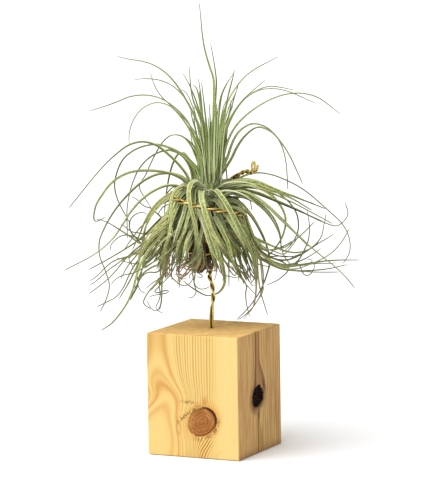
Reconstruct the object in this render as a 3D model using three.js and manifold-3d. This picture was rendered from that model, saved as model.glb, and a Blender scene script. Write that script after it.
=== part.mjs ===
// A silvery thread-leaved air plant, held above a knotty pine block by a twisted brass wire.
// Millimetres, +Z up. The origin is the centre of the block's underside. The block's wide face looks
// along -Y and its right-hand face along +X. The plant is seen from the corner between those two faces.
import * as THREE from 'three';
import { RoundedBoxGeometry } from 'three/addons/geometries/RoundedBoxGeometry.js';
import { mergeVertices } from 'three/addons/utils/BufferGeometryUtils.js';
import Module from 'manifold-3d';

// Block of sawn pine with eased edges, and the blind hole that takes the wire
const BLOCK_SIDE = 50;
const BLOCK_HEIGHT = 61;
const EDGE_RADIUS = 0.8;
const EDGE_SEGMENTS = 2;
const HOLE_DIAMETER = 3;
const HOLE_DEPTH = 15;
const HOLE_PLACE = new THREE.Vector2(-1, -0.5);
const HOLE_SIDES = 24;

// Brass wire, folded in half and twisted on itself
const WIRE_DIAMETER = 0.9;
const WIRE_ARC_STEPS = 3;
const STRAND_OFFSET = 0.6;
const TWIST_PITCH = 8;
const STEPS_PER_TWIST = 5;
const ROUTE_DIVISIONS = 1200;
const PATH_DIVISIONS = 6000;
const FIT_GAP = 0.35;
const LEAF_GAP = 0.6;

// Stem of the plant: a leaning spindle, its radius at each height
const STEM_FOOT = { across: -7, height: 89 };
const STEM_TOP = { across: -1.7, height: 134 };
const STEM_PROFILE = [
  [89, 0], [89, 1.6], [92, 4.2], [96, 5.6], [102, 6.2], [112, 6.4],
  [121, 6.0], [127, 5.2], [131, 3.9], [134, 2.0], [134, 0],
];
const STEM_SIDES = 20;

// Blade of a leaf: a channelled strip that tapers to a thread
const TIP_WIDTH = 0.5;
const TAPER_POWER = 1.15;
const RIM_RISE = 0.22;
const CHANNEL_RISE = 0.02;
const KEEL_DROP = 0.3;
const NECK_WIDTH = 0.62;
const NECK_SHARE = 0.12;
const BLADE_SIDES = 4;
const BLADE_STEP = 7.5;
const FEWEST_STEPS = 11;
const MOST_STEPS = 22;

// The eye that the plant is seen with: its turn from the block's wide face, how far it looks down,
// its lean, its distance, and the picture plane that the leaves are measured in
const EYE = {
  turn: THREE.MathUtils.degToRad(25.85),
  lookDown: THREE.MathUtils.degToRad(7.36),
  lean: THREE.MathUtils.degToRad(0.9),
  distance: 1503,
  focalLength: 1515,
  aimAcross: 2.57,
  aimHeight: 101.35,
  centreAcross: 3.25,
  centreHeight: 101.25,
};

const MERGE_DISTANCE = 1e-4;

const COLOURS = {
  pine: 0xe4bf85,
  brass: 0xb98a35,
  stem: 0x6b5a3c,
  leaf: 0xa3ad83,
};

// Directions of the picture: right, towards the viewer along the ground, and the sight line back
const right = new THREE.Vector3(Math.cos(EYE.turn), Math.sin(EYE.turn), 0);
const towards = new THREE.Vector3(Math.sin(EYE.turn), -Math.cos(EYE.turn), 0);
const back = towards.clone().multiplyScalar(Math.cos(EYE.lookDown));
back.z = Math.sin(EYE.lookDown);
const raised = back.clone().cross(right);
const eyePoint = right.clone().multiplyScalar(EYE.aimAcross).addScaledVector(back, EYE.distance);
eyePoint.z += EYE.aimHeight;

// Where the sight line through a picture point meets an upright plane
function sightMeets(across, height, normal, offset) {
  const u = across - EYE.centreAcross;
  const w = height - EYE.centreHeight;
  const level = u * Math.cos(EYE.lean) + w * Math.sin(EYE.lean);
  const plumb = w * Math.cos(EYE.lean) - u * Math.sin(EYE.lean);
  const ray = right.clone().multiplyScalar(level).addScaledVector(raised, plumb);
  ray.addScaledVector(back, -EYE.focalLength);
  const reach = (offset - normal.dot(eyePoint)) / normal.dot(ray);
  return eyePoint.clone().addScaledVector(ray, reach);
}

// A direction around the stem, in degrees anticlockwise from above, counted from the picture's right
function around(degrees) {
  const angle = THREE.MathUtils.degToRad(degrees);
  return right.clone().multiplyScalar(Math.cos(angle)).addScaledVector(towards, -Math.sin(angle));
}

// The stem's middle line and radius at a height
const stemFoot = right.clone().multiplyScalar(STEM_FOOT.across).setZ(STEM_FOOT.height);
const stemTop = right.clone().multiplyScalar(STEM_TOP.across).setZ(STEM_TOP.height);

function stemCentre(height) {
  const share = (height - STEM_FOOT.height) / (STEM_TOP.height - STEM_FOOT.height);
  return stemFoot.clone().lerp(stemTop, share);
}

function stemRadius(height) {
  const above = STEM_PROFILE.findIndex(([level]) => level > height);
  const [lowLevel, lowRadius] = STEM_PROFILE[above - 1];
  const [highLevel, highRadius] = STEM_PROFILE[above];
  return THREE.MathUtils.mapLinear(height, lowLevel, highLevel, lowRadius, highRadius);
}

function bare(geometry) {
  geometry.deleteAttribute('normal');
  geometry.deleteAttribute('uv');
  return mergeVertices(geometry, MERGE_DISTANCE);
}

function part(name, geometry, colour, roughness, metalness = 0) {
  geometry.computeVertexNormals();
  const material = new THREE.MeshStandardMaterial({ color: colour, roughness, metalness });
  const mesh = new THREE.Mesh(geometry, material);
  mesh.name = name;
  return mesh;
}

// Wood block
const wasm = await Module();
wasm.setup();

function toSolid(geometry) {
  const clean = bare(geometry);
  const vertProperties = new Float32Array(clean.attributes.position.array);
  const triVerts = new Uint32Array(clean.index.array);
  return new wasm.Manifold(new wasm.Mesh({ numProp: 3, vertProperties, triVerts }));
}

function fromSolid(solid) {
  const mesh = solid.getMesh();
  const geometry = new THREE.BufferGeometry();
  geometry.setAttribute('position', new THREE.BufferAttribute(mesh.vertProperties, 3));
  geometry.setIndex(new THREE.BufferAttribute(mesh.triVerts, 1));
  return geometry;
}

function makeBlock() {
  const box = new RoundedBoxGeometry(BLOCK_SIDE, BLOCK_SIDE, BLOCK_HEIGHT, EDGE_SEGMENTS, EDGE_RADIUS);
  box.translate(0, 0, BLOCK_HEIGHT / 2);
  const radius = HOLE_DIAMETER / 2;
  const drill = new THREE.CylinderGeometry(radius, radius, 2 * HOLE_DEPTH, HOLE_SIDES);
  drill.rotateX(Math.PI / 2);
  drill.translate(HOLE_PLACE.x, HOLE_PLACE.y, BLOCK_HEIGHT);
  return fromSolid(toSolid(box).subtract(toSolid(drill)));
}

// Stem: a lathe profile, leaned to its line
function makeStem() {
  const above = (level) => level - STEM_FOOT.height;
  const profile = STEM_PROFILE.map(([level, radius]) => new THREE.Vector2(radius, above(level)));
  const stem = new THREE.LatheGeometry(profile, STEM_SIDES);
  const line = stemTop.clone().sub(stemFoot);
  const upright = new THREE.Vector3(0, 1, 0);
  stem.applyQuaternion(new THREE.Quaternion().setFromUnitVectors(upright, line.normalize()));
  stem.translate(stemFoot.x, stemFoot.y, stemFoot.z);
  return bare(stem);
}

// Route of the twisted wire: up from the hole, once round the foot of the stem, then a rising turn
// under the leaves. Stations are [direction, radius from the turn's centre, height]
const WIRE_FOOT = BLOCK_HEIGHT - HOLE_DEPTH + FIT_GAP + WIRE_DIAMETER;
const WIRE_RISE = [[0.1, 63], [0.5, 70], [1.1, 77.5], [0.6, 82.5], [-0.7, 87]];
const LOWER_TURN_CENTRE = -6;
const LOWER_TURN_TOP = 101;
const UPPER_TURN_CENTRE = -1.2;
const UPPER_TURN_FOOT = 116;
const UPPER_TURN_RADIUS = 18.4;
const WIRE_STATIONS = [
  [35, 6.4, 90.6], [8, 7.4, 94.6], [-22, 7.8, 97.4], [-55, 7.8, 98.8], [-90, 7.8, 99.7],
  [-135, 7.8, 100.5], [-180, 7.9, 101.6], [-225, 8.2, 103], [-270, 9.4, 105], [-300, 11.4, 107.2],
  [-330, 14.4, 110.5], [-352, 17, 114], [-375, UPPER_TURN_RADIUS, 117.3],
  [-400, UPPER_TURN_RADIUS, 119.5], [-430, UPPER_TURN_RADIUS, 121.5], [-470, UPPER_TURN_RADIUS, 124],
  [-510, UPPER_TURN_RADIUS, 126.6], [-545, UPPER_TURN_RADIUS, 128.6], [-580, UPPER_TURN_RADIUS, 130],
  [-615, UPPER_TURN_RADIUS, 131.3], [-645, UPPER_TURN_RADIUS, 132.4],
];
const WIRE_TAIL = [[8.5, 134.7, -13], [13.2, 137.3, -10.5], [17.2, 139.3, -9], [20.6, 138.7, -8]];
const CUT_END = [[23.1, 140.1, -8], [23.4, 142.8, -8]];
// The narrow open loop at the wire's upper end: an oval arc, in half turns from its right-hand side
const LOOP_HEIGHT = 5.4;
const LOOP_WIDTH = 1.5;
const LOOP_OFFSET = 0.75;
const LOOP_START = 1.15;
const LOOP_SWEEP = 1.6;
const LOOP_STEPS = 8;

function wireStation([direction, radius, height]) {
  const share = THREE.MathUtils.smoothstep(height, LOWER_TURN_TOP, UPPER_TURN_FOOT);
  const centre = THREE.MathUtils.lerp(LOWER_TURN_CENTRE, UPPER_TURN_CENTRE, share);
  const point = around(direction).multiplyScalar(radius).addScaledVector(right, centre);
  return point.setZ(height);
}

function picturePoint([across, height, near = 0]) {
  return sightMeets(across, height, towards, near);
}

function wireRoute() {
  const hole = [WIRE_FOOT, BLOCK_HEIGHT - HOLE_DEPTH / 2, BLOCK_HEIGHT];
  const points = [
    ...hole.map((height) => new THREE.Vector3(HOLE_PLACE.x, HOLE_PLACE.y, height)),
    ...WIRE_RISE.map(([across, height]) => picturePoint([across, height])),
    ...WIRE_STATIONS.map(wireStation),
    ...WIRE_TAIL.map(picturePoint),
  ];
  return new THREE.CatmullRomCurve3(points, false, 'centripetal');
}

// One strand winds round the route; the other winds opposite it and is walked back
function makeWire() {
  const route = wireRoute();
  route.arcLengthDivisions = ROUTE_DIVISIONS;
  const length = route.getLength();
  const steps = Math.round((length / TWIST_PITCH) * STEPS_PER_TWIST);
  const frames = route.computeFrenetFrames(steps, false);
  const strand = (phase) => Array.from({ length: steps + 1 }, (_, step) => {
    const angle = (2 * Math.PI * step) / STEPS_PER_TWIST + phase;
    const point = route.getPointAt(step / steps);
    point.addScaledVector(frames.normals[step], STRAND_OFFSET * Math.cos(angle));
    return point.addScaledVector(frames.binormals[step], STRAND_OFFSET * Math.sin(angle));
  });
  const lead = strand(0);
  const partner = strand(Math.PI);
  const fold = lead[0].clone().add(partner[0]).multiplyScalar(0.5);
  fold.z -= STRAND_OFFSET;
  const end = route.getPointAt(1);
  const loop = Array.from({ length: LOOP_STEPS + 1 }, (_, step) => {
    const angle = Math.PI * (LOOP_START - (step / LOOP_STEPS) * LOOP_SWEEP);
    const point = end.clone().addScaledVector(right, LOOP_OFFSET + (LOOP_WIDTH / 2) * Math.cos(angle));
    point.z += (LOOP_HEIGHT / 2) * (1.1 + 0.9 * Math.sin(angle));
    return point;
  });
  const cutEnd = CUT_END.map(picturePoint).reverse();
  const path = new THREE.CatmullRomCurve3([...cutEnd, ...partner.reverse(), fold, ...lead, ...loop]);
  path.arcLengthDivisions = PATH_DIVISIONS;
  const section = new THREE.Shape();
  section.absarc(0, 0, WIRE_DIAMETER / 2, 0, 2 * Math.PI, false);
  const wire = new THREE.ExtrudeGeometry(section, {
    steps: path.points.length,
    curveSegments: WIRE_ARC_STEPS,
    extrudePath: path,
    bevelEnabled: false,
  });
  return bare(wire);
}

// Leaves. Each has its place on the stem (direction and height), the direction it is aimed in, its
// width at the foot, and its course. A course is either what is seen of the leaf in the picture
// plane, as millimetres right of the stem and above the table, with how far it comes towards the
// viewer where it leaves the plane that it is aimed along; or, for a leaf that the tuft hides, its
// reach from the stem and its height.
const TUFT_LEAVES = [
  { at: [-62, 131.6], aim: 180, width: 2.6,
    seen: [[1.2, 150], [1.4, 172], [1, 187], [-1.8, 195], [-4, 205], [-4.9, 214], [-5.9, 224]] },
  { at: [80, 131.6], aim: 180, width: 2.3,
    seen: [[2, 150], [2, 172], [2.7, 184], [1.8, 192], [0.6, 199], [-0.3, 203.5]] },
  { at: [162, 131.6], aim: 172, width: 2.4,
    seen: [[-3.2, 149, -1.8], [-6.2, 167.5], [-8.8, 174.5], [-10.2, 182], [-10.8, 192]] },
  { at: [-160, 131.6], aim: -168, width: 2.4,
    seen: [[-3, 148, 2.2], [-6.2, 170.5], [-8.5, 177], [-10.5, 182], [-14.3, 188.7]] },
  { at: [-112, 131.6], aim: -176, width: 2.2, seen: [[-1.9, 148], [-3, 168], [-4.7, 184]] },
  { at: [120, 131.6], aim: 176, width: 2.2, seen: [[-2.6, 150, -4.4], [-4.3, 165.7], [-5.9, 179.5]] },
  { at: [35, 131.6], aim: 40, width: 2.4,
    seen: [[3.3, 148], [3.7, 160], [4.4, 171], [5.8, 178.5], [10.2, 187]] },
  { at: [-44, 125.4], aim: -30, width: 2.5,
    seen: [[4.4, 145], [7, 168], [8.5, 177], [11.2, 187.5], [12, 190.5]] },
  { at: [0, 125.2], aim: 2, width: 2.3, seen: [[5.6, 143], [9, 166], [12.5, 179], [14, 184]] },
  { at: [62, 128.6], aim: 38, width: 2.6,
    seen: [[4, 145], [6.2, 167.5], [11, 179], [19.5, 189], [24.5, 191.8], [34, 197]] },
  { at: [-70, 128.6], aim: -46, width: 2.6,
    seen: [[4.4, 142], [7.4, 160], [13, 171.5], [19.5, 178.5], [27.6, 185.3]] },
  { at: [24, 128.6], aim: 26, width: 2.7,
    seen: [[5, 141], [9, 163.5], [16, 175], [25.5, 181], [30.5, 181.9], [42, 179.8]] },
  { at: [-22, 128.6], aim: -16, width: 2.8,
    seen: [[5.2, 139], [9.2, 162], [15.5, 174.2], [24.5, 180], [34.5, 180.4], [46.5, 176],
      [52.5, 173.3]] },
  { at: [18, 124.2], aim: 4, width: 3,
    seen: [[7.4, 142], [11.5, 159], [19.5, 168.8], [32, 176.2], [42, 178.4], [52, 176.9],
      [65.5, 167.5]] },
  { at: [138, 128.6], aim: 152, width: 2.8,
    seen: [[-4.9, 144, -5], [-8, 165], [-14, 177.5], [-21.5, 187.5], [-30.5, 193.3], [-41, 195.4],
      [-47.3, 196.9]] },
  { at: [-132, 128.6], aim: -148, width: 2.6,
    seen: [[-4.4, 145], [-7, 163.5], [-12.4, 175], [-19.3, 182.1], [-28, 185.4], [-38.7, 185.3]] },
  { at: [176, 128.4], aim: 160, width: 2.5,
    seen: [[-5.4, 142], [-8.8, 158], [-18, 170.4], [-24.6, 176.4], [-29.5, 185.2], [-30.4, 189]] },
  { at: [-164, 125.8], aim: -158, width: 2.8,
    seen: [[-7.6, 141, 2.6], [-12, 164], [-20.5, 173.2], [-29.5, 177.1], [-39.5, 176.9], [-50.5, 172.7],
      [-61.2, 169.4]] },
  { at: [168, 124.8], aim: 180, width: 2.8,
    seen: [[-10, 130], [-8.8, 147], [-11, 158.5], [-19.5, 171.2], [-26.5, 173.8], [-35.5, 169.8],
      [-41.5, 160], [-42.6, 151.4]] },
  { at: [-98, 128.6], aim: -98, width: 2.5, reach: [[7.6, 146], [10, 164], [15, 178], [22, 187]] },
  { at: [100, 128.6], aim: 100, width: 2.6,
    reach: [[7.6, 145], [10.5, 162], [16.5, 173], [26, 179], [38, 179]] },
];

const ARCHING_LEAVES = [
  { at: [120, 123.6], aim: 138, width: 2.6,
    seen: [[-7.6, 146], [-12, 154.8], [-17.5, 157.8], [-22.5, 155.7], [-27, 149.5], [-33, 137],
      [-36, 131], [-34, 127.5], [-29.5, 120.5]] },
  { at: [-140, 124.6], aim: -166, width: 3.1,
    seen: [[-12, 137.3], [-23, 149.3], [-28.8, 153.1], [-34.5, 154.2], [-40.5, 152.8], [-52, 143.8],
      [-71.4, 120.6]] },
  { at: [142, 120.8], aim: 154, width: 2.9,
    seen: [[-9, 141], [-15, 147.8], [-27, 152.8], [-37.5, 150.4], [-44.3, 144.8], [-48.2, 133],
      [-46.7, 125.2], [-40, 112.5]] },
  { at: [121, 118.2], aim: 152, width: 2.8,
    seen: [[-11.5, 143.8], [-15.3, 147.6], [-21.5, 150], [-28, 148], [-34, 143.3], [-38.3, 136],
      [-41.8, 122.5], [-41.7, 105]] },
  { at: [-164, 120.8], aim: -150, width: 3.4,
    seen: [[-12.5, 133.4], [-19.5, 138], [-32.7, 139.7], [-41, 138.5], [-48.5, 134.5], [-56.5, 124],
      [-58.9, 117.5], [-57.5, 113.8], [-54, 115], [-52.5, 116.5]] },
  { at: [174, 120.4], aim: 174, width: 3,
    seen: [[-13, 135.5], [-20.5, 138.3], [-29.5, 137], [-40.5, 128.8], [-51.3, 114.8], [-56.3, 101],
      [-51.8, 86.5], [-50.8, 80], [-55.8, 68.5]] },
  { at: [-173, 116.4], aim: -170, width: 3.2,
    seen: [[-14, 130.6], [-19, 132.5], [-26.5, 130.7], [-37, 123], [-49.3, 105.5], [-58, 98.1],
      [-74, 89.5]] },
  { at: [170, 112], aim: 170, width: 3.3,
    seen: [[-13.5, 122.6], [-19, 124.8], [-23.5, 124], [-29.3, 118], [-32.8, 110.5], [-33.5, 96]] },
  { at: [46, 124.4], aim: 14, width: 2.8,
    seen: [[8.4, 145], [11.5, 155.3], [17, 161.9], [23, 163.2], [29, 160.6], [34.3, 154.5], [37.3, 145],
      [38.5, 129.3]] },
  { at: [-30, 123.2], aim: -22, width: 3.1,
    seen: [[9, 142], [16, 156], [24.5, 161.7], [29.5, 159.5], [37.5, 150.3], [46, 132.7]] },
  { at: [72, 121], aim: 42, width: 3,
    seen: [[10.5, 133.6, -11], [14.5, 136, -12.4], [18.5, 137.8, -13.8], [25, 138.7, -16],
      [32.5, 137, -19], [45, 131.1, -23], [57.5, 120.8, -25], [66.5, 111.8, -26], [69.8, 101, -25],
      [65.5, 92.5, -23]] },
  { at: [10, 120.4], aim: 12, width: 3.6,
    seen: [[8.5, 132.6], [16, 135.2], [24, 134], [32, 130.5], [45, 125.4], [57.5, 120.5]] },
  { at: [-10, 117.4], aim: -14, width: 3.4,
    seen: [[8.5, 130], [17, 132.3], [25.5, 130.3], [39.5, 124.5], [50, 119], [61, 113]] },
  { at: [30, 115.8], aim: 21, width: 2.9,
    seen: [[8.5, 127.5], [15, 130.2], [27, 127], [42, 120.8], [56.5, 113.8], [63.5, 112.3], [68.9, 119],
      [67, 124.3]] },
  { at: [-38, 118.4], aim: -28, width: 3.3,
    seen: [[9, 128], [15, 129.3], [24.5, 124.8], [37, 113.3], [50.5, 101], [65, 89], [72.3, 80.5]] },
  { at: [-2, 113.6], aim: 3, width: 3.2,
    seen: [[9.4, 125], [15, 126.6], [23.5, 122.8], [30, 116], [34.3, 107.5], [36, 98], [40.5, 92]] },
  { at: [62, 113], aim: 46, width: 3,
    seen: [[10.5, 120.5], [15.5, 121], [21.5, 114.5], [26.5, 105], [29.3, 95], [25.5, 81.5], [19, 71.5],
      [12.5, 65]] },
  { at: [40, 120.6], aim: 36, width: 2.8,
    seen: [[10, 130.8], [20, 133.4], [30.5, 130], [39, 124], [43.8, 114.5], [42, 105.5],
      [35.5, 98.5]] },
  { at: [86, 122], aim: 78, width: 3,
    reach: [[9.5, 134], [18, 147], [30, 154], [42, 149], [52, 134], [56, 118]] },
  { at: [104, 119.6], aim: 110, width: 3.2,
    reach: [[10, 131], [19, 141], [33, 146], [47, 139], [58, 123], [63, 106]] },
  { at: [90, 113], aim: 94, width: 3.2,
    reach: [[10, 120], [18.4, 125.5], [29, 127.5], [40, 121], [47, 108], [48, 92]] },
];

const HANGING_LEAVES = [
  { at: [-136, 120.6], aim: -144, width: 3.3,
    seen: [[-13.5, 131.6, 8.4], [-16.3, 131, 10.6], [-18.8, 128, 12.6], [-19.8, 121, 14],
      [-19.6, 111, 14.4], [-17, 102.8, 14], [-14.8, 100, 13.6]] },
  { at: [-119, 124.6], aim: -114, width: 3.2,
    seen: [[-7, 133.6, 9.5], [-9.5, 133.3, 13.5], [-11.1, 127.5, 18.8], [-9.5, 119.5, 20],
      [-7.3, 111, 19], [-6.6, 101.5, 17], [-7.3, 92.5, 15.5]] },
  { at: [-94, 123.6], aim: -92, width: 3.2,
    seen: [[-4.4, 129.6, 10], [-4.9, 127.4, 15], [-4.2, 123, 20.4], [-2.2, 116, 21.6], [1.3, 105.5, 20],
      [5, 94.5, 15.5], [7, 85, 8], [4, 79, 0], [-2, 77.2, -6], [-8.5, 80.5, -9.5], [-14.5, 85, -11]] },
  { at: [-68, 123.6], aim: -60, width: 3.5,
    seen: [[1, 130, 10], [3, 129, 15.5], [7.2, 123.5, 21.4], [12.2, 115, 22.6], [17, 106, 21],
      [21, 96, 17.8], [22.5, 86, 15], [22.3, 77.5, 13], [21, 71, 12]] },
  { at: [-80, 114], aim: -72, width: 3.2,
    seen: [[0, 116.6, 9.5], [2.4, 115, 13.4], [5.5, 109.5, 17], [9, 102, 18.4], [11, 94, 17.4],
      [15, 86, 15.4]] },
  { at: [20, 109.6], aim: 13, width: 3.4,
    seen: [[8.6, 119], [13.5, 120.8], [18.4, 114], [21.5, 105.5], [30.5, 93], [40, 90], [52, 89],
      [64.5, 89]] },
  { at: [-44, 112], aim: -38, width: 3.2,
    seen: [[9, 114.5, 8], [15.5, 111.4, 12], [19, 106, 12.6], [22.5, 97, 12], [23.5, 87, 11],
      [25, 78.5, 10], [28.5, 67, 9]] },
  { at: [-154, 107.5], aim: -154, width: 3,
    seen: [[-17, 111.6], [-26.5, 105], [-35, 93], [-40.8, 75.5], [-49.5, 63.5], [-55.5, 59.5]] },
  { at: [-179, 109], aim: -180, width: 3,
    seen: [[-17, 114.5], [-24.5, 110], [-40.5, 98], [-50.5, 86.5], [-61.3, 77.8]] },
  { at: [150, 109.6], aim: 158, width: 2.8,
    seen: [[-18, 118.2], [-23, 117], [-35.5, 105.5], [-50.5, 96], [-61.5, 90]] },
  { at: [-134, 111.6], aim: -138, width: 3.3,
    seen: [[-12, 115, 7.6], [-15, 110.5, 9.6], [-20, 100.5, 10.6], [-23, 89.5, 10], [-28.5, 82, 10],
      [-33.5, 75.5, 10], [-33, 71.4, 10], [-30, 70.4, 10]] },
  { at: [170, 103], aim: 164, width: 2.6,
    seen: [[-20, 107.6], [-28, 104], [-38.5, 92], [-46.5, 77.5], [-57.5, 71.5]] },
  { at: [34, 103.4], aim: 14, width: 2.4,
    seen: [[11, 105.4], [21, 106.4], [30.5, 102.3], [35, 100.8], [44.5, 107], [52, 114.5]] },
  { at: [-16, 103.6], aim: -22, width: 2.6,
    seen: [[12, 106.4], [25.5, 97.5], [37, 90.5], [51, 93.5], [63, 101], [69.5, 111.5]] },
  { at: [84, 106.6], aim: 70, width: 3, reach: [[14, 113], [24, 115], [33, 107], [38, 92], [38, 76]] },
];

// The blade's width at a share of its length: a narrow neck, then a long taper to the tip
function bladeWidth(width, share) {
  const neck = THREE.MathUtils.lerp(NECK_WIDTH, 1, THREE.MathUtils.smoothstep(share, 0, NECK_SHARE));
  return neck * (width - TIP_WIDTH) * (1 - share) ** TAPER_POWER + TIP_WIDTH;
}

function leafPoints({ at: [place, height], aim, width, seen, reach }) {
  const heading = around(aim);
  const across = new THREE.Vector3(heading.y, -heading.x, 0);
  const centre = stemCentre(height);
  const rim = centre.clone().addScaledVector(around(place), stemRadius(height));
  const courseFrom = (foot) => (reach
    ? reach.map(([out, level]) => centre.clone().addScaledVector(heading, out).setZ(level))
    : seen.map(([x, level, near]) => (near === undefined
      ? sightMeets(x, level, across, across.dot(foot))
      : sightMeets(x, level, towards, near))));
  const leaving = courseFrom(rim)[0].sub(rim).normalize();
  const stand = LEAF_GAP + KEEL_DROP * NECK_WIDTH * width * Math.abs(leaving.z);
  const foot = rim.clone().addScaledVector(around(place), stand);
  return [foot, ...courseFrom(foot)];
}

// The blade is a four-sided cone laid along the leaf's course, its section folded to a channel
function makeLeaf(leaf) {
  const course = new THREE.CatmullRomCurve3(leafPoints(leaf), false, 'centripetal');
  const wanted = Math.round(course.getLength() / BLADE_STEP);
  const steps = THREE.MathUtils.clamp(wanted, FEWEST_STEPS, MOST_STEPS);
  const heading = around(leaf.aim);
  const level = new THREE.Vector3(heading.y, -heading.x, 0);
  const cone = bare(new THREE.ConeGeometry(1, 1, BLADE_SIDES, steps));
  const position = cone.attributes.position;
  const corner = new THREE.Vector3();
  for (let index = 0; index < position.count; index += 1) {
    corner.fromBufferAttribute(position, index);
    const share = THREE.MathUtils.clamp(corner.y + 0.5, 0, 1);
    const spread = Math.hypot(corner.x, corner.z);
    const sideways = spread > MERGE_DISTANCE ? corner.x / spread : 0;
    const upward = spread > MERGE_DISTANCE ? corner.z / spread : 0;
    const tangent = course.getTangentAt(share);
    const side = level.clone().addScaledVector(tangent, -level.dot(tangent)).normalize();
    const rise = side.clone().cross(tangent);
    const width = bladeWidth(leaf.width, share);
    const fold = RIM_RISE * Math.abs(sideways) + (upward > 0 ? CHANNEL_RISE : KEEL_DROP) * upward;
    const point = course.getPointAt(share);
    point.addScaledVector(side, (width / 2) * sideways).addScaledVector(rise, width * fold);
    position.setXYZ(index, point.x, point.y, point.z);
  }
  return cone;
}

function addLeaves(group, family, leaves) {
  leaves.forEach((leaf, index) => {
    const name = `${family}_${String(index + 1).padStart(2, '0')}`;
    group.add(part(name, makeLeaf(leaf), COLOURS.leaf, 0.8));
  });
}

const group = new THREE.Group();
group.add(part('wood_block', makeBlock(), COLOURS.pine, 0.65));
group.add(part('holder_wire', makeWire(), COLOURS.brass, 0.3, 1));
group.add(part('plant_stem', makeStem(), COLOURS.stem, 0.9));
addLeaves(group, 'tuft_leaf', TUFT_LEAVES);
addLeaves(group, 'arching_leaf', ARCHING_LEAVES);
addLeaves(group, 'hanging_leaf', HANGING_LEAVES);

export default group;
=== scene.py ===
"""A thread-leaved air plant, cradled by a twisted brass wire that stands in a knotty pine block."""

import math
import random

import bmesh
import bpy
import numpy as np
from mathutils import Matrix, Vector


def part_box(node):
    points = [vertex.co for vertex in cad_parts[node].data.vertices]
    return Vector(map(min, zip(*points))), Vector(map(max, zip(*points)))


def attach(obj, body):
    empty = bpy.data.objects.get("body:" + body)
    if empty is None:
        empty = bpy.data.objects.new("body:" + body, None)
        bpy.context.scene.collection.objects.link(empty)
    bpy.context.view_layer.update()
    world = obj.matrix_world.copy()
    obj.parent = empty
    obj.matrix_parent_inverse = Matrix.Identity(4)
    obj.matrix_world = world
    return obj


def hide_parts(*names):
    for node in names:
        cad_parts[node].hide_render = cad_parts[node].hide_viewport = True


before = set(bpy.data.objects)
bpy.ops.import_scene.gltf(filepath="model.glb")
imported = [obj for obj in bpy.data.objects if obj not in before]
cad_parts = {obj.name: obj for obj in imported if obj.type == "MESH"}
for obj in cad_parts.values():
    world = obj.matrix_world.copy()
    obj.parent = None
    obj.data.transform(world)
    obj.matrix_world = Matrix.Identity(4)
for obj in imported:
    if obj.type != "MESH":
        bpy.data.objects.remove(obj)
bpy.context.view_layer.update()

# Studio
# A pale floor with no edge, a broad soft lamp high on the left, and the camera where the plant was
# photographed from: round to the right of the block's wide face, a little above it, with a long lens.
MM = 0.001
EYE_TURN = math.radians(25.85)
EYE_DOWN = math.radians(7.36)
EYE_LEAN = math.radians(0.9)
EYE_DISTANCE = 1503
EYE_FOCUS = 1515
AIM_ACROSS = 2.57
AIM_HEIGHT = 101.35
PICTURE_HEIGHT = 247.5
PICTURE_MIDDLE = (3.25, 101.25)
SENSOR = 36
FAR_CLIP = 100

right = Vector((math.cos(EYE_TURN), math.sin(EYE_TURN), 0))
towards = Vector((math.sin(EYE_TURN), -math.cos(EYE_TURN), 0))
upright = Vector((0, 0, 1))
backward = towards * math.cos(EYE_DOWN) + upright * math.sin(EYE_DOWN)
raised = backward.cross(right)
eye = right * AIM_ACROSS + upright * AIM_HEIGHT + backward * EYE_DISTANCE


def seen_at(across, height, near=0):
    """The point, in millimetres, seen at a place in the picture, that far in front of the stem."""
    u = across - PICTURE_MIDDLE[0]
    w = height - PICTURE_MIDDLE[1]
    level = u * math.cos(EYE_LEAN) + w * math.sin(EYE_LEAN)
    plumb = w * math.cos(EYE_LEAN) - u * math.sin(EYE_LEAN)
    ray = right * level + raised * plumb - backward * EYE_FOCUS
    return eye + ray * ((near - towards.dot(eye)) / towards.dot(ray))


lens = bpy.data.cameras.new("camera")
lens.sensor_width = SENSOR
lens.lens = SENSOR * EYE_FOCUS / PICTURE_HEIGHT
lens.clip_end = FAR_CLIP
camera = bpy.data.objects.new("camera", lens)
camera_right = right * math.cos(EYE_LEAN) - raised * math.sin(EYE_LEAN)
camera_up = right * math.sin(EYE_LEAN) + raised * math.cos(EYE_LEAN)
for row in range(3):
    for column, axis in enumerate((camera_right, camera_up, backward, eye * MM)):
        camera.matrix_world[row][column] = axis[row]
bpy.context.scene.collection.objects.link(camera)
bpy.context.scene.camera = camera
bpy.context.scene.view_settings.view_transform = "Standard"


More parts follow.
